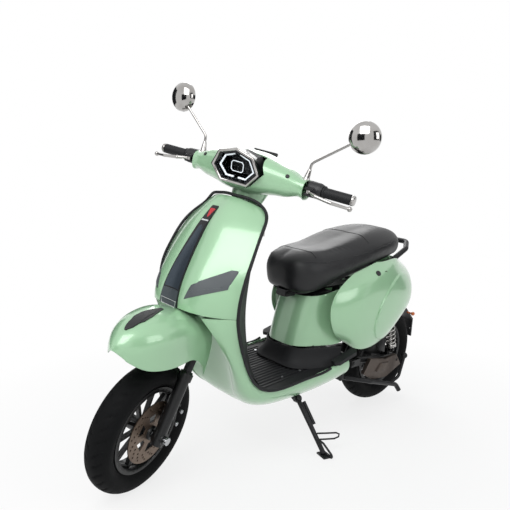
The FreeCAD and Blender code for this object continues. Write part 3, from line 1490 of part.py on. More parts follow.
def swingarm():
    """Fork-shaped swingarm with the pivot shaft, the motor axle and the lower shock pins."""
    arms = []
    for side in (1, -1):
        arms.append(bar([aft(262, 262, side * 78), aft(180, 250, side * 90), aft(-22, mm.tyre_radius, side * 90)],
                        15, 60))
    cross = Part.makeCylinder(15, 156, aft(262, 262, -78), X)
    ears = [Part.makeBox(12, 54, 30, aft(312, 247, side * 106 - 6)) for side in (1, -1)]
    ears += [Part.makeBox(34, 14, 30, aft(270, 247, side * 95 - 17)) for side in (1, -1)]
    ears += [Part.makeBox(14, 22, 48, shock_low + Vector(side * 88 - 7, -11, -36)) for side in (1, -1)]
    shaft = Part.makeCylinder(mm.pivot_radius, 236, pivot_point - X * 118, X)
    pins = [Part.makeCylinder(7, 30, shock_low + X * (side * 88), X * side) for side in (1, -1)]
    axle = Part.makeCylinder(mm.axle_radius, 240, rear_axle - X * 120, X)
    collars = [Part.makeCylinder(mm.axle_radius + 5, 90 - mm.motor_hub_half - CLEAR,
                                 rear_axle + X * (side * (mm.motor_hub_half + CLEAR)), X * side)
               for side in (1, -1)]
    whole = Part.Solid(arms[0]).fuse([arms[1], cross, shaft, axle] + ears + pins + collars)
    return node("swingarm", feature("swingarm", largest(whole)))


swingarm()


def drive_cover():
    """Cast cover plate on the left side of the swingarm."""
    body = new_body("cover_casting")
    sketch = new_sketch(body, "cover_side", "YZ_Plane")
    draw_outline(sketch, [(-236, -18), (-196, 42), (-88, 22), (-6, 26), (34, -28), (-66, -66), (-166, -58)])
    pad(body, "cover_pad", sketch, 16)
    rib = new_sketch(body, "cover_rib", "YZ_Plane")
    draw_outline(rib, [(-150, -24), (-120, 8), (-60, 2), (-86, -30)])
    pad(body, "cover_rib_pad", rib, 22)
    body.Placement = Placement(rear_axle + X * 106, Rotation())
    bore = cylinder("cover_bore", size.axle_radius, 60, rear_axle + X * 90, X)
    return node("drive_cover", cut("drive_cover", body, [bore]))


drive_cover()



def shocks():
    """Damper bodies hung from the frame, and rods with springs carried on the swingarm's pins."""
    uppers, lowers = [], []
    for side in (1, -1):
        spread = X * (side * mm.shock_spread)
        top, foot = shock_high + spread, shock_low + spread
        eye = Part.makeCylinder(13, 16, top - X * 8, X)
        body = Part.makeCylinder(13, 120, top - shock_line * 130, shock_line)
        collar = Part.makeCylinder(24, 6, top - shock_line * 34, shock_line)
        rod_way = Part.makeCylinder(7, 200, top - shock_line * 220, shock_line)
        upper = eye.fuse([body, collar]).cut(rod_way.common(
            Part.makeCylinder(7, 96, top - shock_line * 131, shock_line)))
        upper = upper.cut(Part.makeCylinder(8, 40, top - X * 20, X))
        uppers.append(largest(upper))
        low_eye = Part.makeCylinder(13, 14, foot - X * 7, X)
        rod = Part.makeCylinder(6, 150, foot + shock_line * 6, shock_line)
        seat_ring = Part.makeCylinder(24, 6, foot + shock_line * 18, shock_line)
        lower = low_eye.fuse([rod, seat_ring]).cut(Part.makeCylinder(7 + BUSH, 40, foot - X * 20, X))
        lowers.append(largest(lower))
    node("shock_cylinders", feature("shock_cylinders", Part.Compound(uppers)))
    node("shock_rods", feature("shock_rods", Part.Compound(lowers)))


shocks()


def side_stand():
    """Bent leg on a bolt under the left rail, with its spring, foot loop and foot plate."""
    pivot = side_stand_pivot()
    foot = side_stand_foot()
    leg = bar([pivot, pivot + (foot - pivot) * 0.5 + Vector(4, 0, 0), foot + Vector(0, 0, 6)], mm.stand_bar, 60)
    plate = Part.makeBox(52, 34, 6, Vector(-20, -17, -1))
    plate.Placement = settle.inverse().multiply(Placement(ground_foot(), Rotation(Z, -18)))
    eye = Part.makeCylinder(15, 12, pivot - stand_axis() * 6, stand_axis())
    loop_start = foot + (pivot - foot) * 0.3
    out = Vector(46, -8, 0)
    loop = bar([loop_start, loop_start + out, foot + out * 1.5 + Vector(0, 0, 12), foot + Vector(6, 0, 8)], 4, 10)
    spring_top = pivot + (foot - pivot) * 0.08 + Vector(0, 22, 0)
    spring = Part.makeCylinder(7, 92, spring_top, foot - pivot)
    hooks = [Part.makeCylinder(3, 24, spring_top + (foot - pivot).normalize() * along, Y * -1)
             for along in (8, 84)]
    whole = leg.fuse([plate, eye, loop, spring] + hooks)
    bore = Part.makeCylinder(STAND_BOLT + mm.running_gap, 40, pivot - stand_axis() * 20, stand_axis())
    return node("side_stand", feature("side_stand", largest(whole.cut(bore))))


side_stand()


def centre_stand():
    """Two legs joined by the pivot tube, with a foot lever, folded up under the swingarm."""
    bore = Part.makeCylinder(STAND_BOLT + mm.running_gap, 300, stand_pivot - X * 150, X)
    legs = []
    for side in (1, -1):
        legs.append(bar([stand_pivot + X * (side * 66), aft(200, 170, side * 134), aft(10, 112, side * 140),
                         aft(-6, 84, side * 150)], 10, 30))
    tube_part = Part.makeCylinder(13, 152, stand_pivot - X * 76, X)
    lever = bar([aft(60, 126, 138), aft(6, 150, 146), aft(-14, 240, 148)], 7, 24)
    knob = Part.makeSphere(14, aft(-14, 248, 148))
    whole = tube_part.fuse(legs + [lever, knob]).cut(bore)
    return node("centre_stand", feature("centre_stand", largest(whole)))


centre_stand()


def passenger_pegs():
    """Folding foot pads of the passenger on each side of the cowls."""
    for side, name in ((1, "passenger_peg_left"), (-1, "passenger_peg_right")):
        body = new_body(name)
        sketch = new_sketch(body, name + "_plan", "XY_Plane")
        draw_outline(sketch, [(0, -60), (22, -66), (36, -50), (36, 44), (22, 60), (0, 54)])
        pad(body, name + "_pad", sketch, 14)
        turn = Rotation(X, 14)
        if side < 0:
            turn = turn * Rotation(Z, 180)
        body.Placement = Placement(aft(470, 352, side * 178), turn)
        node(name, body)


passenger_pegs()


def finish():
    doc.recompute()
    for thing in doc.Objects:
        if "Invalid" in thing.State or "Error" in thing.State:
            raise RuntimeError("%s failed: %s" % (thing.Label, thing.State))
    box = FreeCAD.BoundBox()
    for thing, frame in nodes:
        thing.Placement = frames[frame] * thing.Placement
        box.add(thing.Shape.optimalBoundingBox(False, False))
    to_origin = Placement(Vector(-box.Center.x, -box.Center.y, -box.ZMin), Rotation())
    for thing, frame in nodes:
        thing.Placement = to_origin * thing.Placement
    doc.recompute()
    os.makedirs("parts", exist_ok=True)
    for thing, frame in nodes:
        shape = thing.Shape
        if shape.isNull() or not shape.isValid() or not shape.Solids:
            raise RuntimeError("%s has no valid shape" % thing.Label)
        shape.exportStep("parts/%s.step" % thing.Label)
        print(thing.Label, len(shape.Solids), round(shape.Volume / 1000, 1))
    print("size", round(box.XLength), round(box.YLength), round(box.ZLength))


finish()
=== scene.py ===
import json
import math

import bpy
from mathutils import Matrix, Vector


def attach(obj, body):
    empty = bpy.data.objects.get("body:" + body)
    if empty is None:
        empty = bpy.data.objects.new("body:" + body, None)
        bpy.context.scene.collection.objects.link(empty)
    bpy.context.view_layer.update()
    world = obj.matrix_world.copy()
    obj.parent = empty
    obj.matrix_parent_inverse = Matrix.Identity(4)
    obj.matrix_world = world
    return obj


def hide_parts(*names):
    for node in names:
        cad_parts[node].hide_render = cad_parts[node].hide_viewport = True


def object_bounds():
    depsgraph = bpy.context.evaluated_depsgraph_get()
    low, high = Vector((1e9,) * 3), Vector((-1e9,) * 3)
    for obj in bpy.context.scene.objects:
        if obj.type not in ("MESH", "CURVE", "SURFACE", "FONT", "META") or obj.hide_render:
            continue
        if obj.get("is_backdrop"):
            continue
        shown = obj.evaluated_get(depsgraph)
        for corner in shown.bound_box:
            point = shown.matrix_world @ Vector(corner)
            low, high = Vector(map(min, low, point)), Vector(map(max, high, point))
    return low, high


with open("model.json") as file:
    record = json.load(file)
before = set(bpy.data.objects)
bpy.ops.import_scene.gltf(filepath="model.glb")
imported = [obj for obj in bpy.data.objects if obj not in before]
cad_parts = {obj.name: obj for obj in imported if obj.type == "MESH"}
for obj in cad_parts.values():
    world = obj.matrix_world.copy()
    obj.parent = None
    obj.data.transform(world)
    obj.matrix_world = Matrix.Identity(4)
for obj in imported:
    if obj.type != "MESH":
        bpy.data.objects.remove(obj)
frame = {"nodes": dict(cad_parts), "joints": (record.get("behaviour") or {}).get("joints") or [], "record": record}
cadLow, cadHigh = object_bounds()
nodes = frame["nodes"]
joints = {joint["name"]: joint for joint in frame["joints"]}
behaviour = frame["record"]["behaviour"]
bodyOf = {node: body for body, members in behaviour["bodies"].items() for node in members}
bpy.ops.object.select_all(action="DESELECT")


# places: the scooter's own axes while it leans, and the steered half's axes while it is turned

# metres in the upright scooter with its wheels straight, the light as seen from the bar's middle
places = dict(rearAxle=(0, 0.620, 0.223), frontAxle=(0, -0.638, 0.223), barMiddle=(0, -0.2325, 1.030),
              light=(0, -0.104, 0.022), lightTilt=8)


def placeFrom(spinJoint, across, back, up, axle):
    turn = Matrix((across, back, up)).transposed()
    start = Vector(joints[spinJoint]["pos_m"]) - turn @ Vector(axle)
    return Matrix.Translation(start) @ turn.to_4x4()


across = Vector(joints["rear_wheel_spin"]["axis"])
back = Vector(joints["key_turn"]["axis"])
body = placeFrom("rear_wheel_spin", across, back, across.cross(back), places["rearAxle"])
across = Vector(joints["front_wheel_spin"]["axis"])
up = Vector(joints["brake_left"]["axis"])
steered = placeFrom("front_wheel_spin", across, up.cross(across), up, places["frontAxle"])
barPlace = steered @ Matrix.Translation(places["barMiddle"])
lightPlace = (barPlace @ Matrix.Translation(places["light"])
              @ Matrix.Rotation(math.radians(places["lightTilt"]), 4, "X"))


def at(place, x, y, z):
    return place @ Vector((x / 1000, y / 1000, z / 1000))


# materials

def linear(code, alpha=1.0):
    parts = [int(code[place:place + 2], 16) / 255 for place in (1, 3, 5)]
    curved = [part / 12.92 if part <= 0.04045 else ((part + 0.055) / 1.055) ** 2.4 for part in parts]
    return (*curved, alpha)


def addNode(tree, kind, settings={}, links={}):
    made = tree.nodes.new("ShaderNode" + kind)
    for key, value in settings.items():
        if isinstance(key, str) and hasattr(made, key):
            setattr(made, key, value)
        else:
            made.inputs[key].default_value = value
    for key, source in links.items():
        tree.links.new(source, made.inputs[key])
    return made


# Each finish: two colours that a soft cloud mixes, its size in mm, the shader's constants,
# and a fine grain given by its size and depth in mm.
finishes = {
    # two-coat pearl lacquer over ABS: a clear gloss over a slightly flaked mint base
    "pearlLacquer": dict(colours=("#a2cba3", "#98c49c"), cloud=240, grain=(0.9, 0.002),
                         Metallic=0.1, Roughness=0.3, Coat_Weight=0.9, Coat_Roughness=0.11),
    # cast tyre rubber, dull with a bloom in the hollows
    "tyreRubber": dict(colours=("#0b0b0c", "#121314"), cloud=30, grain=(0.8, 0.05), Roughness=0.7,
                       Specular_IOR_Level=0.1),
    # gravity-cast wheel alloy under satin black lacquer
    "blackWheelAlloy": dict(colours=("#08090a", "#0d0e10"), cloud=60, grain=(0.7, 0.015),
                            Roughness=0.4, Specular_IOR_Level=0.35, Coat_Weight=0.1, Coat_Roughness=0.3),
    # ground disc steel browned by heat, with fine turning marks
    "groundDiscSteel": dict(colours=("#7b6a5c", "#5d4f45"), cloud=18, grain=(0.6, 0.01),
                            Metallic=0.8, Roughness=0.42),
    # hard chrome plating on steel and zinc castings; the dark brown-grey that the cloud mixes in is painted
    # reflection of a dark surround, not the plating's own colour
    "chromeWithPaintedReflection": dict(colours=("#c9c8c6", "#8d8986"), cloud=46, grain=(2.0, 0.0008),
                        Metallic=1.0, Roughness=0.1),
    # turned and polished fork tube steel
    "polishedSteel": dict(colours=("#b9bbbd", "#a3a5a8"), cloud=40, grain=(0.5, 0.003),
                          Metallic=1.0, Roughness=0.2),
    # powder-coated frame steel
    "powderCoatedSteel": dict(colours=("#0d0e10", "#141518"), cloud=50, grain=(1.0, 0.04),
                              Roughness=0.45, Specular_IOR_Level=0.35),
    # moulded polypropylene with a spark-eroded texture
    "mouldedBlackPlastic": dict(colours=("#101114", "#17181b"), cloud=40, grain=(0.9, 0.05), Roughness=0.48),
    # gloss black ABS, for the headlight hood and the dash
    "glossBlackPlastic": dict(colours=("#0c0d0f", "#121316"), cloud=60, grain=(1.5, 0.002),
                              Roughness=0.2, Specular_IOR_Level=0.3, Coat_Weight=0.15, Coat_Roughness=0.1),
    # grey louvre plastic of the vents
    "greyVentPlastic": dict(colours=("#4a4f52", "#565b5e"), cloud=30, grain=(0.8, 0.04), Roughness=0.5),
    # soft rubber of the mat, trims and grips
    "softRubber": dict(colours=("#101113", "#17181b"), cloud=35, grain=(0.9, 0.06), Roughness=0.6,
                       Specular_IOR_Level=0.35),
    # embossed seat vinyl over foam
    "seatVinyl": dict(colours=("#0d0e10", "#141518"), cloud=80, grain=(2.2, 0.18), Roughness=0.46,
                      Specular_IOR_Level=0.4, Coat_Weight=0.08, Coat_Roughness=0.4),
    # satin foil inset of the tie
    "satinFoil": dict(colours=("#46505a", "#38414a"), cloud=60, grain=(0.7, 0.01), Metallic=0.5,
                      Roughness=0.35),
    # grey badge block
    "badgeGrey": dict(colours=("#3c4348", "#454c51"), cloud=20, grain=(0.7, 0.02), Roughness=0.4),
    # enamel of the small marks
    "redEnamel": dict(colours=("#c8202a", "#b41c25"), cloud=10, grain=(0.6, 0.005), Roughness=0.25),
    "whiteEnamel": dict(colours=("#d9dcdb", "#cfd3d2"), cloud=10, grain=(0.6, 0.005), Roughness=0.3),
    # brown-grey die-cast drive cover
    "castCoverAlloy": dict(colours=("#5d534c", "#4a423d"), cloud=24, grain=(1.1, 0.05),
                           Metallic=0.7, Roughness=0.42),
    # zinc-plated fasteners
    "zincBolt": dict(colours=("#a9abad", "#8f9194"), cloud=8, grain=(0.5, 0.01), Metallic=0.9,
                     Roughness=0.32),
    # amber lamp lenses
    "amberLens": dict(colours=("#e0701c", "#cf5f14"), cloud=12, grain=(1.5, 0.05), Roughness=0.12,
                      Coat_Weight=0.8, Coat_Roughness=0.05),
}


roughSpread = (0.85, 1.2)      # how far the cloud moves a finish's roughness, down and up
weldDistance = 0.00001          # metres


def makeFinish(name, colours, cloud, grain, **constants):
    material = bpy.data.materials.new(name)
    material.use_nodes = True
    tree = material.node_tree
    shader = tree.nodes["Principled BSDF"]
    for key, value in constants.items():
        shader.inputs[key.replace("_", " ")].default_value = value
    coords = addNode(tree, "TexCoord")
    spot = coords.outputs["Object"]
    soft = addNode(tree, "TexNoise", {"Scale": 1000 / cloud, "Detail": 3.0}, {"Vector": spot})
    mix = addNode(tree, "Mix", {"data_type": "RGBA", 6: linear(colours[0]), 7: linear(colours[1])},
                  {0: soft.outputs["Fac"]})
    tree.links.new(mix.outputs[2], shader.inputs["Base Color"])
    size, depth = grain
    fine = addNode(tree, "TexNoise", {"Scale": 1000 / size, "Detail": 2.0}, {"Vector": spot})
    bump = addNode(tree, "Bump", {"Strength": 1.0, "Distance": depth / 1000}, {"Height": fine.outputs["Fac"]})
    tree.links.new(bump.outputs["Normal"], shader.inputs["Normal"])
    rough = shader.inputs["Roughness"].default_value
    spread = addNode(tree, "MapRange", {"To Min": rough * roughSpread[0], "To Max": rough * roughSpread[1]},
                     {"Value": soft.outputs["Fac"]})
    tree.links.new(spread.outputs["Result"], shader.inputs["Roughness"])
    return material


paints = {name: makeFinish(name, **what) for name, what in finishes.items()}


def makeGlow(name, code, strength):
    # light guide behind a clear lens: the same white all over, a little brighter than its surroundings
    material = makeFinish(name, (code, code), 20, (1.0, 0.002), Roughness=0.3)
    shader = material.node_tree.nodes["Principled BSDF"]
    shader.inputs["Emission Color"].default_value = linear(code)
    shader.inputs["Emission Strength"].default_value = strength
    return material


def makeClear(name, code, rough):
    # clear polycarbonate lens: mostly see-through, with the gloss of its outer face
    material = makeFinish(name, (code, code), 60, (2.0, 0.0005), Roughness=rough)
    shader = material.node_tree.nodes["Principled BSDF"]
    shader.inputs["Transmission Weight"].default_value = 1.0
    shader.inputs["IOR"].default_value = 1.05
    return material


paints["daylightGuide"] = makeGlow("daylightGuide", "#f4f6f8", 0.6)
paints["clearLens"] = makeClear("clearLens", "#e8ecef", 0.03)
print("materials ready")


# pieces made from the frame's nodes: a smooth-shaded skin stands for each node

def activate(piece):
    bpy.ops.object.select_all(action="DESELECT")
    piece.select_set(True)
    bpy.context.view_layer.objects.active = piece


def copyNode(node, name):
    piece = bpy.data.objects.new(name, nodes[node].data.copy())
    bpy.context.scene.collection.objects.link(piece)
    activate(piece)
    bpy.ops.object.mode_set(mode="EDIT")
    bpy.ops.mesh.select_all(action="SELECT")
    bpy.ops.mesh.remove_doubles(threshold=weldDistance)
    bpy.ops.object.mode_set(mode="OBJECT")
    return piece


def paint(piece, finish):
    piece.data.materials.clear()
    piece.data.materials.append(paints[finish])


def smooth(piece, angle):
    activate(piece)
    bpy.ops.object.shade_smooth_by_angle(angle=math.radians(angle))
    bpy.ops.object.modifier_add(type="WEIGHTED_NORMAL")      # thin triangles count for less
    piece.modifiers[-1].keep_sharp = True
    bpy.ops.object.modifier_apply(modifier=piece.modifiers[-1].name)


def settle(piece, node, finish, angle=30, replace=False):
    # material, shading and body of a finished piece that belongs with a node, and with replace the node itself
    # hidden
    paint(piece, finish)
    smooth(piece, angle)
    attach(piece, bodyOf[node])
    if replace:
        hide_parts(node)
    return piece


skins = {
    "pearlLacquer": ["leg_shield", "belly_panels", "wheel_arch_panel", "front_fender", "side_cowl_left",
                     "side_cowl_right", "seat_column_cover", "headset_cover_front", "headset_cover_rear"],
    "blackWheelAlloy": ["front_rim", "rear_rim", "fork_sliders", "swingarm"],
    "groundDiscSteel": ["front_brake_disc"],
    "polishedSteel": ["front_axle", "steering_stem", "handlebar_tube"],
    "powderCoatedSteel": ["main_frame", "side_stand", "centre_stand", "grab_rail", "shock_cylinders",
                          "front_caliper", "fork_stanchions"],
    "mouldedBlackPlastic": ["inner_shield", "switch_housings", "turn_switch", "horn_button", "start_button",
                            "seat_lock", "plate_bracket", "seat_pan", "battery_pack", "centre_trim",
                            "headlight_unit", "fender_trim"],
    "glossBlackPlastic": ["dash_display", "headlight_bezel"],
    "greyVentPlastic": ["vent_grilles"],
    "softRubber": ["shield_trim", "footboard", "grip_left", "throttle_grip", "passenger_peg_left",
                   "passenger_peg_right"],
    "badgeGrey": ["badge_plate"],
    "chromeWithPaintedReflection": ["mirror_arms", "mirror_head_left", "mirror_head_right",
                    "brake_lever_left", "brake_lever_right", "bar_ends", "ignition_key", "shock_rods"],
    "amberLens": ["rear_lamps"],
    "castCoverAlloy": ["drive_cover"],
    "clearLens": ["headlight_lens"],
}


def camelName(node):
    first, *rest = node.split("_")
    return first + "".join(word.capitalize() for word in rest)


skin = {}
for finish, members in skins.items():
    for node in members:
        skin[node] = settle(copyNode(node, camelName(node) + "Skin"), node, finish, replace=True)
print("skins ready")


# tyres: a torus whose section is moved to the tyre's outline, with curved slots cut into the tread

tyreShape = dict(
    segments=720, aroundSection=56, crown=223, bed=0.18, section=0.04,       # mm, then the torus in metres
    slots=34, slotHalfWidth=2.6, slotDepth=4.2, slotStart=7, slotEnd=39, slotSweep=26, slotHook=12, tread=195,
    # half outline, from the crown to the bead: across and radius in mm
    outline=[(0, 222.8), (12, 221.8), (22, 218.6), (31, 213.2), (38, 206.8), (43, 199), (45.6, 190),
             (45.8, 182), (43.5, 172), (38.5, 163), (31, 155.5), (26.6, 151), (26.6, 140.6), (13, 140.4),
             (0, 140.4)],
)


def outlineAt(share):
    # point of the half outline at a share of its length
    points = tyreShape["outline"]
    runs = [math.dist(a, b) for a, b in zip(points, points[1:])]
    left = share * sum(runs)
    for (a, b), run in zip(zip(points, points[1:]), runs):
        if left <= run:
            part = left / run
            return a[0] + (b[0] - a[0]) * part, a[1] + (b[1] - a[1]) * part
        left -= run
    return points[-1]


def slotDepthAt(offset, along):
    # depth of the sickle-shaped slots at this place across the tread and along it
    reach = abs(offset)
    if not tyreShape["slotStart"] < reach < tyreShape["slotEnd"]:
        return 0
    share = (reach - tyreShape["slotStart"]) / (tyreShape["slotEnd"] - tyreShape["slotStart"])
    pitch = 2 * math.pi * tyreShape["crown"] / tyreShape["slots"]
    shift = 0 if offset > 0 else pitch / 2
    curve = tyreShape["slotSweep"] * share ** 0.6 + tyreShape["slotHook"] * share ** 3
    gap = (along + curve + shift) % pitch - pitch / 2
    half = tyreShape["slotHalfWidth"] * (0.55 + 0.9 * math.sin(math.pi * share))
    edge = max(0, 1 - (abs(gap) / half) ** 2)
    return tyreShape["slotDepth"] * min(1, edge * 2) * min(1, share * 6, (1 - share) * 6)


def makeTyre(name, node, place):
    bpy.ops.mesh.primitive_torus_add(major_segments=tyreShape["segments"],
                                     minor_segments=tyreShape["aroundSection"],
                                     major_radius=tyreShape["bed"], minor_radius=tyreShape["section"])
    piece = bpy.context.active_object
    piece.name = name
    turn = place @ Matrix.Rotation(math.radians(90), 4, "Y")
    for vertex in piece.data.vertices:
        x, y, z = vertex.co
        around = math.atan2(y, x)
        section = math.atan2(z, math.hypot(x, y) - tyreShape["bed"])      # 0 at the crown, pi at the bed
        offset, radius = outlineAt(abs(section) / math.pi)
        offset = math.copysign(offset, section)
        if radius > tyreShape["tread"]:
            radius -= slotDepthAt(offset, around * tyreShape["crown"])
        vertex.co = turn @ (Vector((radius * math.cos(around), radius * math.sin(around), offset)) / 1000)
    return settle(piece, node, "tyreRubber", angle=42, replace=True)


makeTyre("frontTyreTread", "front_tyre", steered @ Matrix.Translation(places["frontAxle"]))
makeTyre("rearTyreTread", "rear_tyre", body @ Matrix.Translation(places["rearAxle"]))
print("tyres ready")


# wires: springs, light guides, seams and loops are tubes along a line of points

def makeTube(name, points, radius, node, finish, closed=False, sides=3):
    curve = bpy.data.curves.new(name, "CURVE")
    curve.dimensions = "3D"
    curve.bevel_depth = radius / 1000
    curve.bevel_resolution = sides
    curve.use_fill_caps = not closed
    line = curve.splines.new("POLY")
    line.points.add(len(points) - 1)
    for spot, point in zip(line.points, points):
        spot.co = (*point, 1)
    line.use_cyclic_u = closed
    piece = bpy.data.objects.new(name, curve)
    bpy.context.scene.collection.objects.link(piece)
    activate(piece)
    bpy.ops.object.convert(target="MESH")
    return settle(bpy.context.active_object, node, finish, angle=50)


def onSurface(piece, points, steps):
    # points along a line, each moved to the nearest place on a piece
    line = []
    for start, end in zip(points, points[1:]):
        for step in range(steps):
            line.append(start.lerp(end, step / steps))
    line.append(points[-1])
    return [piece.closest_point_on_mesh(point)[1] for point in line]


def seam(name, node, points, radius, finish, steps):
    spots = [at(body, *point) for point in points]
    return makeTube(name, onSurface(skin[node], spots, steps), radius, node, finish, sides=2)


# headlight: two daylight guides that leave gaps at the top and the bottom, and the projector's square ring

headlight = dict(
    hoodDepth=30, hoodTaper=0.74,          # how far back the hood starts to draw in, and to what share
    guide=[(9, 39), (45, 27.5), (63, -6), (37, -35), (9, -35)], guideDepth=7, guideRadius=3.6,
    ring=[(-17, 15), (17, 15), (22, 9), (22, -11), (17, -17), (-17, -17), (-22, -11), (-22, 9)], ringDepth=9,
    ringRadius=1.3,
    # outline of the chrome frame round the lens, the share of it that the tube follows, its depth and radius
    frame=[(0, 61), (66, 42), (91, -8), (53, -54), (-53, -54), (-91, -8), (-66, 42)],
    frameShare=0.925, frameDepth=-4.5, frameRadius=5.0,
)
toLight = lightPlace.inverted()
for vertex in skin["headlight_bezel"].data.vertices:        # the hood's back edge draws in under the cover
    across, depth, height = toLight @ vertex.co * 1000
    if depth > headlight["hoodDepth"]:
        taper = headlight["hoodTaper"]
        vertex.co = at(lightPlace, across * taper, depth, height * taper)
for side, word in ((1, "Left"), (-1, "Right")):
    line = [at(lightPlace, side * x, headlight["guideDepth"], z) for x, z in headlight["guide"]]
    makeTube("daylightGuide" + word, line, headlight["guideRadius"], "headlight_unit", "daylightGuide")
line = [at(lightPlace, x, headlight["ringDepth"], z) for x, z in headlight["ring"]]
makeTube("projectorRing", line, headlight["ringRadius"], "headlight_unit", "daylightGuide", closed=True)
share = headlight["frameShare"]
line = [at(lightPlace, share * x, headlight["frameDepth"], share * z) for x, z in headlight["frame"]]
makeTube("chromeFrame", line, headlight["frameRadius"], "headlight_bezel", "chromeWithPaintedReflection", closed=True)
print("headlight ready")


# springs of the rear shocks, from above the lower eye to below the upper one

shock = dict(top=(0, 524, 510), foot=(0, 590, 272), across=104, lowSeat=26, highSeat=40, coil=20, wire=3.4,
             turns=9, stepsPerTurn=20)


def makeSpring(name, start, end, radius, wire, turns, node, finish):
    axis = (end - start).normalized()
    side = axis.orthogonal().normalized()
    other = axis.cross(side)
    count = turns * shock["stepsPerTurn"]
    points = []
    for step in range(count + 1):
        angle = 2 * math.pi * turns * step / count
        middle = start.lerp(end, step / count)
        points.append(middle + (side * math.cos(angle) + other * math.sin(angle)) * radius / 1000)
    return makeTube(name, points, wire, node, finish, sides=2)


shockTop, shockFoot = Vector(shock["top"]), Vector(shock["foot"])
shockLine = (shockTop - shockFoot).normalized()
for side, word in ((1, "Left"), (-1, "Right")):
    aside = Vector((side * shock["across"], 0, 0))
    low = shockFoot + aside + shockLine * shock["lowSeat"]
    high = shockTop + aside - shockLine * shock["highSeat"]
    makeSpring("shockSpring" + word, at(body, *low), at(body, *high), shock["coil"], shock["wire"],
               shock["turns"], "shock_rods", "chromeWithPaintedReflection")
print("springs ready")


# seat: the cushion swells a little under its vinyl, with welted seams

seatShape = dict(
    voxel=0.006, pressure=3.0, frames=14, cap=0.004, smoothing=8,             # metres, and counts
    waist=702, waistRise=0.085, waistFrom=-40, crown=95, skirt=(20, 90),      # mm from here on
    shoulderShare=0.20, skirtShare=0.10, hollowDepth=22, hollowAt=120, hollowReach=105, halfWidth=190,
    noseDrop=16, noseFrom=70, noseTo=-50,
)


def swell(piece):
    # foam pressing on its cover: a short cloth run whose moves are capped
    rest = [vertex.co.copy() for vertex in piece.data.vertices]
    activate(piece)
    bpy.ops.object.modifier_add(type="CLOTH")
    cloth = piece.modifiers[-1]
    cloth.settings.use_pressure = True
    cloth.settings.uniform_pressure_force = seatShape["pressure"]
    cloth.settings.effector_weights.gravity = 0
    cloth.point_cache.frame_start = 1
    cloth.point_cache.frame_end = seatShape["frames"]
    for step in range(1, seatShape["frames"] + 1):
        bpy.context.scene.frame_set(step)
    bpy.ops.object.modifier_apply(modifier=cloth.name)
    for vertex, start in zip(piece.data.vertices, rest):
        move = vertex.co - start
        if move.length > seatShape["cap"]:
            vertex.co = start + move.normalized() * seatShape["cap"]


def ease(low, high, value):
    share = min(1, max(0, (value - low) / (high - low)))
    return share * share * (3 - 2 * share)


def shapeSeat(piece):
    # narrower shoulders and skirt, a lower nose and a hollow for the rider
    shape = seatShape
    toBody = body.inverted()
    for vertex in piece.data.vertices:
        x, y, z = toBody @ vertex.co * 1000
        middle = shape["waist"] + shape["waistRise"] * (y - shape["waistFrom"])
        top = ease(middle, middle + shape["crown"], z)
        skirt = ease(middle - shape["skirt"][0], middle - shape["skirt"][1], z)
        narrow = 1 - shape["shoulderShare"] * top ** 1.5 - shape["skirtShare"] * skirt
        dip = math.exp(-((y - shape["hollowAt"]) / shape["hollowReach"]) ** 2)
        hollow = shape["hollowDepth"] * dip * top * (1 - (x / shape["halfWidth"]) ** 2)
        nose = shape["noseDrop"] * ease(shape["noseFrom"], shape["noseTo"], y) * top
        vertex.co = at(body, x * narrow, y, z - hollow - nose)


cushion = copyNode("seat_cushion", "seatCushionVinyl")
cushion.data.remesh_voxel_size = seatShape["voxel"]
bpy.ops.object.voxel_remesh()
bpy.ops.object.modifier_add(type="SMOOTH")
cushion.modifiers[-1].iterations = seatShape["smoothing"]
bpy.ops.object.modifier_apply(modifier=cushion.modifiers[-1].name)
shapeSeat(cushion)
swell(cushion)
settle(cushion, "seat_cushion", "seatVinyl", angle=80, replace=True)
skin["seat_cushion"] = cushion
print("seat ready")

# welted seams: one along each flank of the seat, two across its top
seatSeams = dict(
    flank=[(120, -30, 745), (170, 40, 752), (190, 160, 748), (190, 300, 762), (180, 420, 780),
           (120, 500, 786)],
    flankRadius=1.5, flankSteps=14,
    across=[(-150, 800), (-90, 840), (0, 850), (90, 840), (150, 800)], acrossRadius=1.3, acrossSteps=12,
    places={"seatSeamFront": 20, "seatSeamRear": 300},
)
for side, word in ((1, "Left"), (-1, "Right")):
    points = [(side * x, y, z) for x, y, z in seatSeams["flank"]]
    seam("seatSeam" + word, "seat_cushion", points, seatSeams["flankRadius"], "seatVinyl",
         seatSeams["flankSteps"])
for name, y in seatSeams["places"].items():
    points = [(x, y, z) for x, z in seatSeams["across"]]
    seam(name, "seat_cushion", points, seatSeams["acrossRadius"], "seatVinyl", seatSeams["acrossSteps"])


# tie, badge and panel marks: copies of the trim's own surface, cut to shape and raised a little

patchShape = dict(facing=0.2, sink=0.6)      # least share of a face turned to the front; mm below the paint


def makePatch(name, node, planes, lift, finish, place=body, facing=(0, -1, 0)):
    # planes: points in mm and outward directions, in the place's axes; what lies outside them is cut away
    piece = copyNode(node, name)
    turn = place.to_3x3()
    bpy.ops.object.mode_set(mode="EDIT")
    for point, outward in planes:
        bpy.ops.mesh.select_all(action="SELECT")
        bpy.ops.mesh.bisect(plane_co=at(place, *point), plane_no=turn @ Vector(outward), clear_outer=True)
    bpy.ops.mesh.select_all(action="DESELECT")
    bpy.ops.object.mode_set(mode="OBJECT")
    front = (turn @ Vector(facing)).normalized()
    for face in piece.data.polygons:
        face.select = face.normal.dot(front) < patchShape["facing"]
    bpy.ops.object.mode_set(mode="EDIT")
    bpy.ops.mesh.select_mode(type="FACE")
    bpy.ops.mesh.delete(type="FACE")
    bpy.ops.object.mode_set(mode="OBJECT")
    for vertex in piece.data.vertices:
        vertex.co += front * (lift / 1000)
    bpy.ops.object.modifier_add(type="SOLIDIFY")
    piece.modifiers[-1].thickness = (lift + patchShape["sink"]) / 1000
    piece.modifiers[-1].offset = -1
    bpy.ops.object.modifier_apply(modifier=piece.modifiers[-1].name)
    return settle(piece, node, finish)


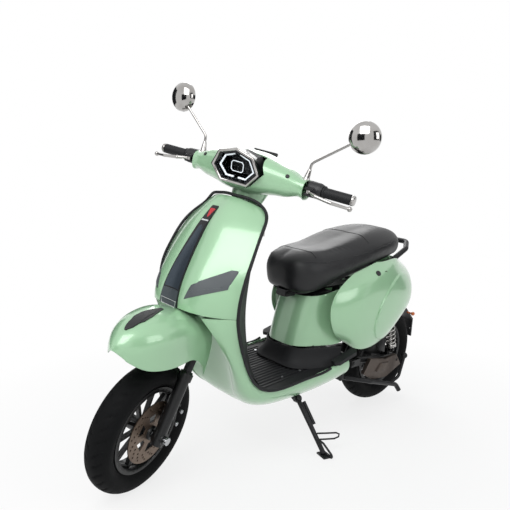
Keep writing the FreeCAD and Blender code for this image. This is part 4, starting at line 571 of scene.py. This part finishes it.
def insidePlanes(corners):
    # planes round a convex outline of (across, height), its corners listed anticlockwise from the front
    planes = []
    for (x0, z0), (x1, z1) in zip(corners, corners[1:] + corners[:1]):
        planes.append(((x0, 0, z0), Vector((z1 - z0, 0, x0 - x1)).normalized()))
    return planes


def mirrored(corners):
    return [(-x, z) for x, z in reversed(corners)]


# outlines seen from the front, as across and height in mm, with how far each stands off the paint
marks = {
    "tieBorder": ([(-50, 609), (50, 609), (36, 735), (19, 921), (-19, 921), (-36, 735)], 4.2,
                  "mouldedBlackPlastic"),
    "tieInset": ([(-42, 668), (42, 668), (31, 735), (14.5, 914), (-14.5, 914), (-31, 735)], 4.9, "satinFoil"),
    "tieTriangle": ([(-3, 886), (3, 886), (13, 912), (-13, 912)], 5.5, "redEnamel"),
    "tieLine": ([(-17, 874), (17, 874), (16.5, 878), (-16.5, 878)], 5.4, "whiteEnamel"),
    "badgeBlock": ([(-44, 613), (44, 613), (41, 664), (-41, 664)], 5.6, "badgeGrey"),
}
patch = {}
for name, (corners, lift, finish) in marks.items():
    patch[name] = makePatch(name, "leg_shield", insidePlanes(corners), lift, finish)
vent = [(73, 648), (178, 691), (182, 747), (170, 745), (84, 693)]
ventLift = 1.7
for name, corners in (("ventInsertLeft", vent), ("ventInsertRight", mirrored(vent))):
    makePatch(name, "leg_shield", insidePlanes(corners), ventLift, "greyVentPlastic")

badge = dict(square=[(-23, 626), (23, 626), (23, 656), (-23, 656), (-23, 626)], ahead=-700, wire=1.1)
spots = [at(body, x, badge["ahead"], z) for x, z in badge["square"]]
line = [patch["badgeBlock"].closest_point_on_mesh(spot)[1] for spot in spots]
makeTube("badgeSquare", line, badge["wire"], "badge_plate", "whiteEnamel", sides=2)

# blade on the fender, its outline seen from above as across and along
blade = dict(corners=[(-3, -772), (3, -772), (21, -715), (20, -680), (5, -612), (-5, -612), (-20, -680),
                      (-21, -715)], lift=3.4, facing=(0, -0.5, 0.85))
planes = []
for (x, y), (_, outward) in zip(blade["corners"], insidePlanes(blade["corners"])):
    planes.append(((x, y, 0), Vector((outward.x, outward.z, 0))))
makePatch("fenderBlade", "front_fender", planes, blade["lift"], "mouldedBlackPlastic", steered,
          blade["facing"])
print("marks ready")


# small turned parts: plugs, screws and the lock's cap, one made round and copied to each place

studShape = dict(vertices=32, edge=0.22, edgeSteps=3, angle=40)


def makeStud(name, node, spot, direction, radius, height, finish):
    bpy.ops.object.select_all(action="DESELECT")
    bpy.ops.mesh.primitive_cylinder_add(vertices=studShape["vertices"], radius=radius / 1000,
                                        depth=height / 1000, location=(0, 0, 0))
    piece = bpy.context.active_object
    piece.name = name
    bpy.ops.object.mode_set(mode="EDIT")
    bpy.ops.mesh.select_all(action="SELECT")
    bpy.ops.mesh.bevel(offset=min(radius, height) * studShape["edge"] / 1000, segments=studShape["edgeSteps"])
    bpy.ops.object.mode_set(mode="OBJECT")
    turn = direction.to_track_quat("Z", "Y").to_matrix().to_4x4()
    piece.data.transform(Matrix.Translation(spot) @ turn)
    return settle(piece, node, finish, angle=studShape["angle"])


def studOn(name, node, place, point, radius, height, finish, rider=None):
    # a stud on a skin, at the place nearest to a point, square to the surface
    _, spot, normal, _ = skin[node].closest_point_on_mesh(at(place, *point))
    return makeStud(name, rider or node, spot, normal, radius, height, finish)


studs = dict(
    # places in mm, and radius and height
    plug=(161, -290, 1062), plugSize=(6.5, 5), lock=(185, 317, 667), lockSize=(11, 7),
    screwAcross=126, screwRows=(-112, -20, 74), screwHeight=318, screwSize=(5, 3),
    boltAcross=101, bolts=((-590, 262), (-572, 300)), boltSize=(7, 7),
)
for side, word in ((1, "Left"), (-1, "Right")):
    x, y, z = studs["plug"]
    studOn("headsetPlug" + word, "headset_cover_front", steered, (side * x, y, z), *studs["plugSize"],
           "mouldedBlackPlastic")
studOn("seatLockCap", "side_cowl_left", body, studs["lock"], *studs["lockSize"], "mouldedBlackPlastic",
       "seat_lock")
for side, word in ((1, "Left"), (-1, "Right")):
    for count, y in enumerate(studs["screwRows"]):
        spot = (side * studs["screwAcross"], y, studs["screwHeight"])
        studOn("matScrew%s%d" % (word, count), "footboard", body, spot, *studs["screwSize"], "zincBolt")
outward = steered.to_3x3() @ Vector((1, 0, 0))
for count, (y, z) in enumerate(studs["bolts"]):
    makeStud("caliperBolt%d" % count, "front_caliper", at(steered, studs["boltAcross"], y, z), outward,
             *studs["boltSize"], "zincBolt")
print("studs ready")


# side stand's foot loop

footLoop = dict(start=(222, -4, 96), wire=3.2,
                steps=[(0, 0, 0), (20, 26, 2), (42, 58, 4), (50, 66, 0), (52, 62, -9), (44, 48, -16),
                       (22, 20, -20), (4, -4, -22)])
start = Vector(footLoop["start"])
makeTube("standFootLoop", [at(body, *(start + Vector(step))) for step in footLoop["steps"]], footLoop["wire"],
         "side_stand", "powderCoatedSteel")

# hangers between the tail of the cowls and the number plate's bracket
hanger = dict(across=22, line=((712, 492), (694, 512), (668, 530)), radius=4.5)
for side, word in ((1, "Left"), (-1, "Right")):
    line = [at(body, side * hanger["across"], *spot) for spot in hanger["line"]]
    makeTube("plateHanger" + word, line, hanger["radius"], "plate_bracket", "mouldedBlackPlastic")
print("stand ready")


# floor, world, lamps and camera

stage = dict(floorRadius=40, floorVertices=96, floorDrop=0.0005, floorColour="#f2f2f2",
             # metres from the middle where the floor starts and ends to fade, and how much of it glows there
             fadeFrom=0.6, fadeTo=1.7, glowFrom=0.78, glowTo=1.0, worldColour="#f6f8fb", worldStrength=0.5)


def seenDirectly(tree):
    # 1 for what the camera, a mirror or a lens sees, 0 for what only lights
    path = addNode(tree, "LightPath")
    seen = addNode(tree, "Math", {"operation": "MAXIMUM"},
                   {0: path.outputs["Is Camera Ray"], 1: path.outputs["Is Glossy Ray"]})
    return addNode(tree, "Math", {"operation": "MAXIMUM"},
                   {0: seen.outputs["Value"], 1: path.outputs["Is Transmission Ray"]})


def makeFloor():
    bpy.ops.object.select_all(action="DESELECT")
    bpy.ops.mesh.primitive_circle_add(vertices=stage["floorVertices"], radius=stage["floorRadius"],
                                      fill_type="NGON", location=(0, 0, 0))
    floor = bpy.context.active_object
    floor.name = "studioFloor"
    floor.data.transform(Matrix.Translation((0, 0, cadLow.z - stage["floorDrop"])))
    material = bpy.data.materials.new("paintedStudioFloor")      # matt white paint, faded into the backdrop
    material.use_nodes = True
    tree = material.node_tree
    tree.nodes.clear()
    coords = addNode(tree, "TexCoord")
    far = addNode(tree, "VectorMath", {"operation": "LENGTH"}, {0: coords.outputs["Object"]})
    fade = addNode(tree, "MapRange", {"From Min": stage["fadeFrom"], "From Max": stage["fadeTo"],
                                      "To Min": stage["glowFrom"], "To Max": stage["glowTo"]},
                   {"Value": far.outputs["Value"]})
    seen = seenDirectly(tree)
    share = addNode(tree, "Math", {"operation": "MULTIPLY"},
                    {0: seen.outputs["Value"], 1: fade.outputs["Result"]})
    matt = addNode(tree, "BsdfDiffuse", {"Color": linear(stage["floorColour"])})
    glow = addNode(tree, "Emission", {"Color": (1, 1, 1, 1), "Strength": 1.0})
    mix = addNode(tree, "MixShader", {},
                  {0: share.outputs["Value"], 1: matt.outputs["BSDF"], 2: glow.outputs["Emission"]})
    addNode(tree, "OutputMaterial", {}, {"Surface": mix.outputs["Shader"]})
    floor.data.materials.append(material)
    floor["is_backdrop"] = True


def makeWorld():
    world = bpy.data.worlds.new("studioWorld")
    bpy.context.scene.world = world
    world.use_nodes = True
    tree = world.node_tree
    tree.nodes.clear()
    seen = seenDirectly(tree)
    lit = addNode(tree, "Background",
                  {"Color": linear(stage["worldColour"]), "Strength": stage["worldStrength"]})
    shown = addNode(tree, "Background", {"Color": (1, 1, 1, 1), "Strength": 1.0})
    mix = addNode(tree, "MixShader", {},
                  {0: seen.outputs["Value"], 1: lit.outputs["Background"], 2: shown.outputs["Background"]})
    addNode(tree, "OutputWorld", {}, {"Surface": mix.outputs["Shader"]})


lamps = {
    # name: (place in metres, aim, size in metres, watts)
    "keyPanel": ((1.2, -2.6, 3.2), (0, 0, 0.6), 2.6, 92),
    "sidePanel": ((3.2, 0.6, 1.6), (0, 0, 0.6), 1.6, 26),
    "backPanel": ((-2.4, 2.2, 2.4), (0, 0, 0.7), 2.0, 40),
}


def makeLamps():
    for name, (spot, aim, size, watts) in lamps.items():
        light = bpy.data.lights.new(name, "AREA")
        light.size = size
        light.energy = watts
        lamp = bpy.data.objects.new(name, light)
        bpy.context.scene.collection.objects.link(lamp)
        lamp.location = spot
        lamp.rotation_euler = (Vector(aim) - Vector(spot)).to_track_quat("-Z", "Y").to_euler()


camera = dict(place=(1.4213, -1.5419, 0.9892), azimuth=49.35, elevation=10.30, lens=40.69, sensor=36,
              shift=(0.0348, 0.0628))


def makeCamera():
    data = bpy.data.cameras.new("studioCamera")
    data.sensor_width = camera["sensor"]
    data.lens = camera["lens"]
    data.shift_x, data.shift_y = camera["shift"]
    holder = bpy.data.objects.new("studioCamera", data)
    bpy.context.scene.collection.objects.link(holder)
    turn, rise = math.radians(camera["azimuth"]), math.radians(camera["elevation"])
    towards = -Vector((math.sin(turn) * math.cos(rise), -math.cos(turn) * math.cos(rise), math.sin(rise)))
    holder.location = camera["place"]
    holder.rotation_euler = towards.to_track_quat("-Z", "Y").to_euler()
    bpy.context.scene.camera = holder


# dark screens far from the scooter, which mirrored surfaces and the soft light see but the camera doesn't
screens = dict(
    radius=6.5, colour="#23262a", rough=0.9,
    # bearing of the middle and spread in degrees, lower and upper edge in metres
    panels=[(-72, 50, -0.2, 4.6), (8, 34, -0.2, 3.0), (96, 56, -0.2, 4.6), (150, 40, -0.2, 2.6),
            (235, 40, -0.2, 3.4)],
)


def makeScreens():
    material = bpy.data.materials.new("blackFeltScreen")           # dull black cloth
    material.use_nodes = True
    shader = material.node_tree.nodes["Principled BSDF"]
    shader.inputs["Base Color"].default_value = linear(screens["colour"])
    shader.inputs["Roughness"].default_value = screens["rough"]
    for count, (middle, spread, foot, head) in enumerate(screens["panels"]):
        corners = []
        for angle, height in ((-1, foot), (1, foot), (1, head), (-1, head)):
            turn = math.radians(middle + angle * spread / 2)
            corners.append((screens["radius"] * math.sin(turn), -screens["radius"] * math.cos(turn), height))
        bpy.ops.object.select_all(action="DESELECT")
        bpy.ops.mesh.primitive_plane_add(size=1)
        panel = bpy.context.active_object
        panel.name = "screen%d" % count
        for vertex, corner in zip(panel.data.vertices, (corners[0], corners[1], corners[3], corners[2])):
            vertex.co = corner
        panel.data.materials.append(material)
        panel.visible_camera = False
        panel.visible_shadow = False
        panel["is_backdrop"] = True


makeFloor()
makeScreens()
makeWorld()
makeLamps()
makeCamera()
bpy.context.scene.view_settings.view_transform = "Standard"
print("stage ready")

low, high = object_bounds()
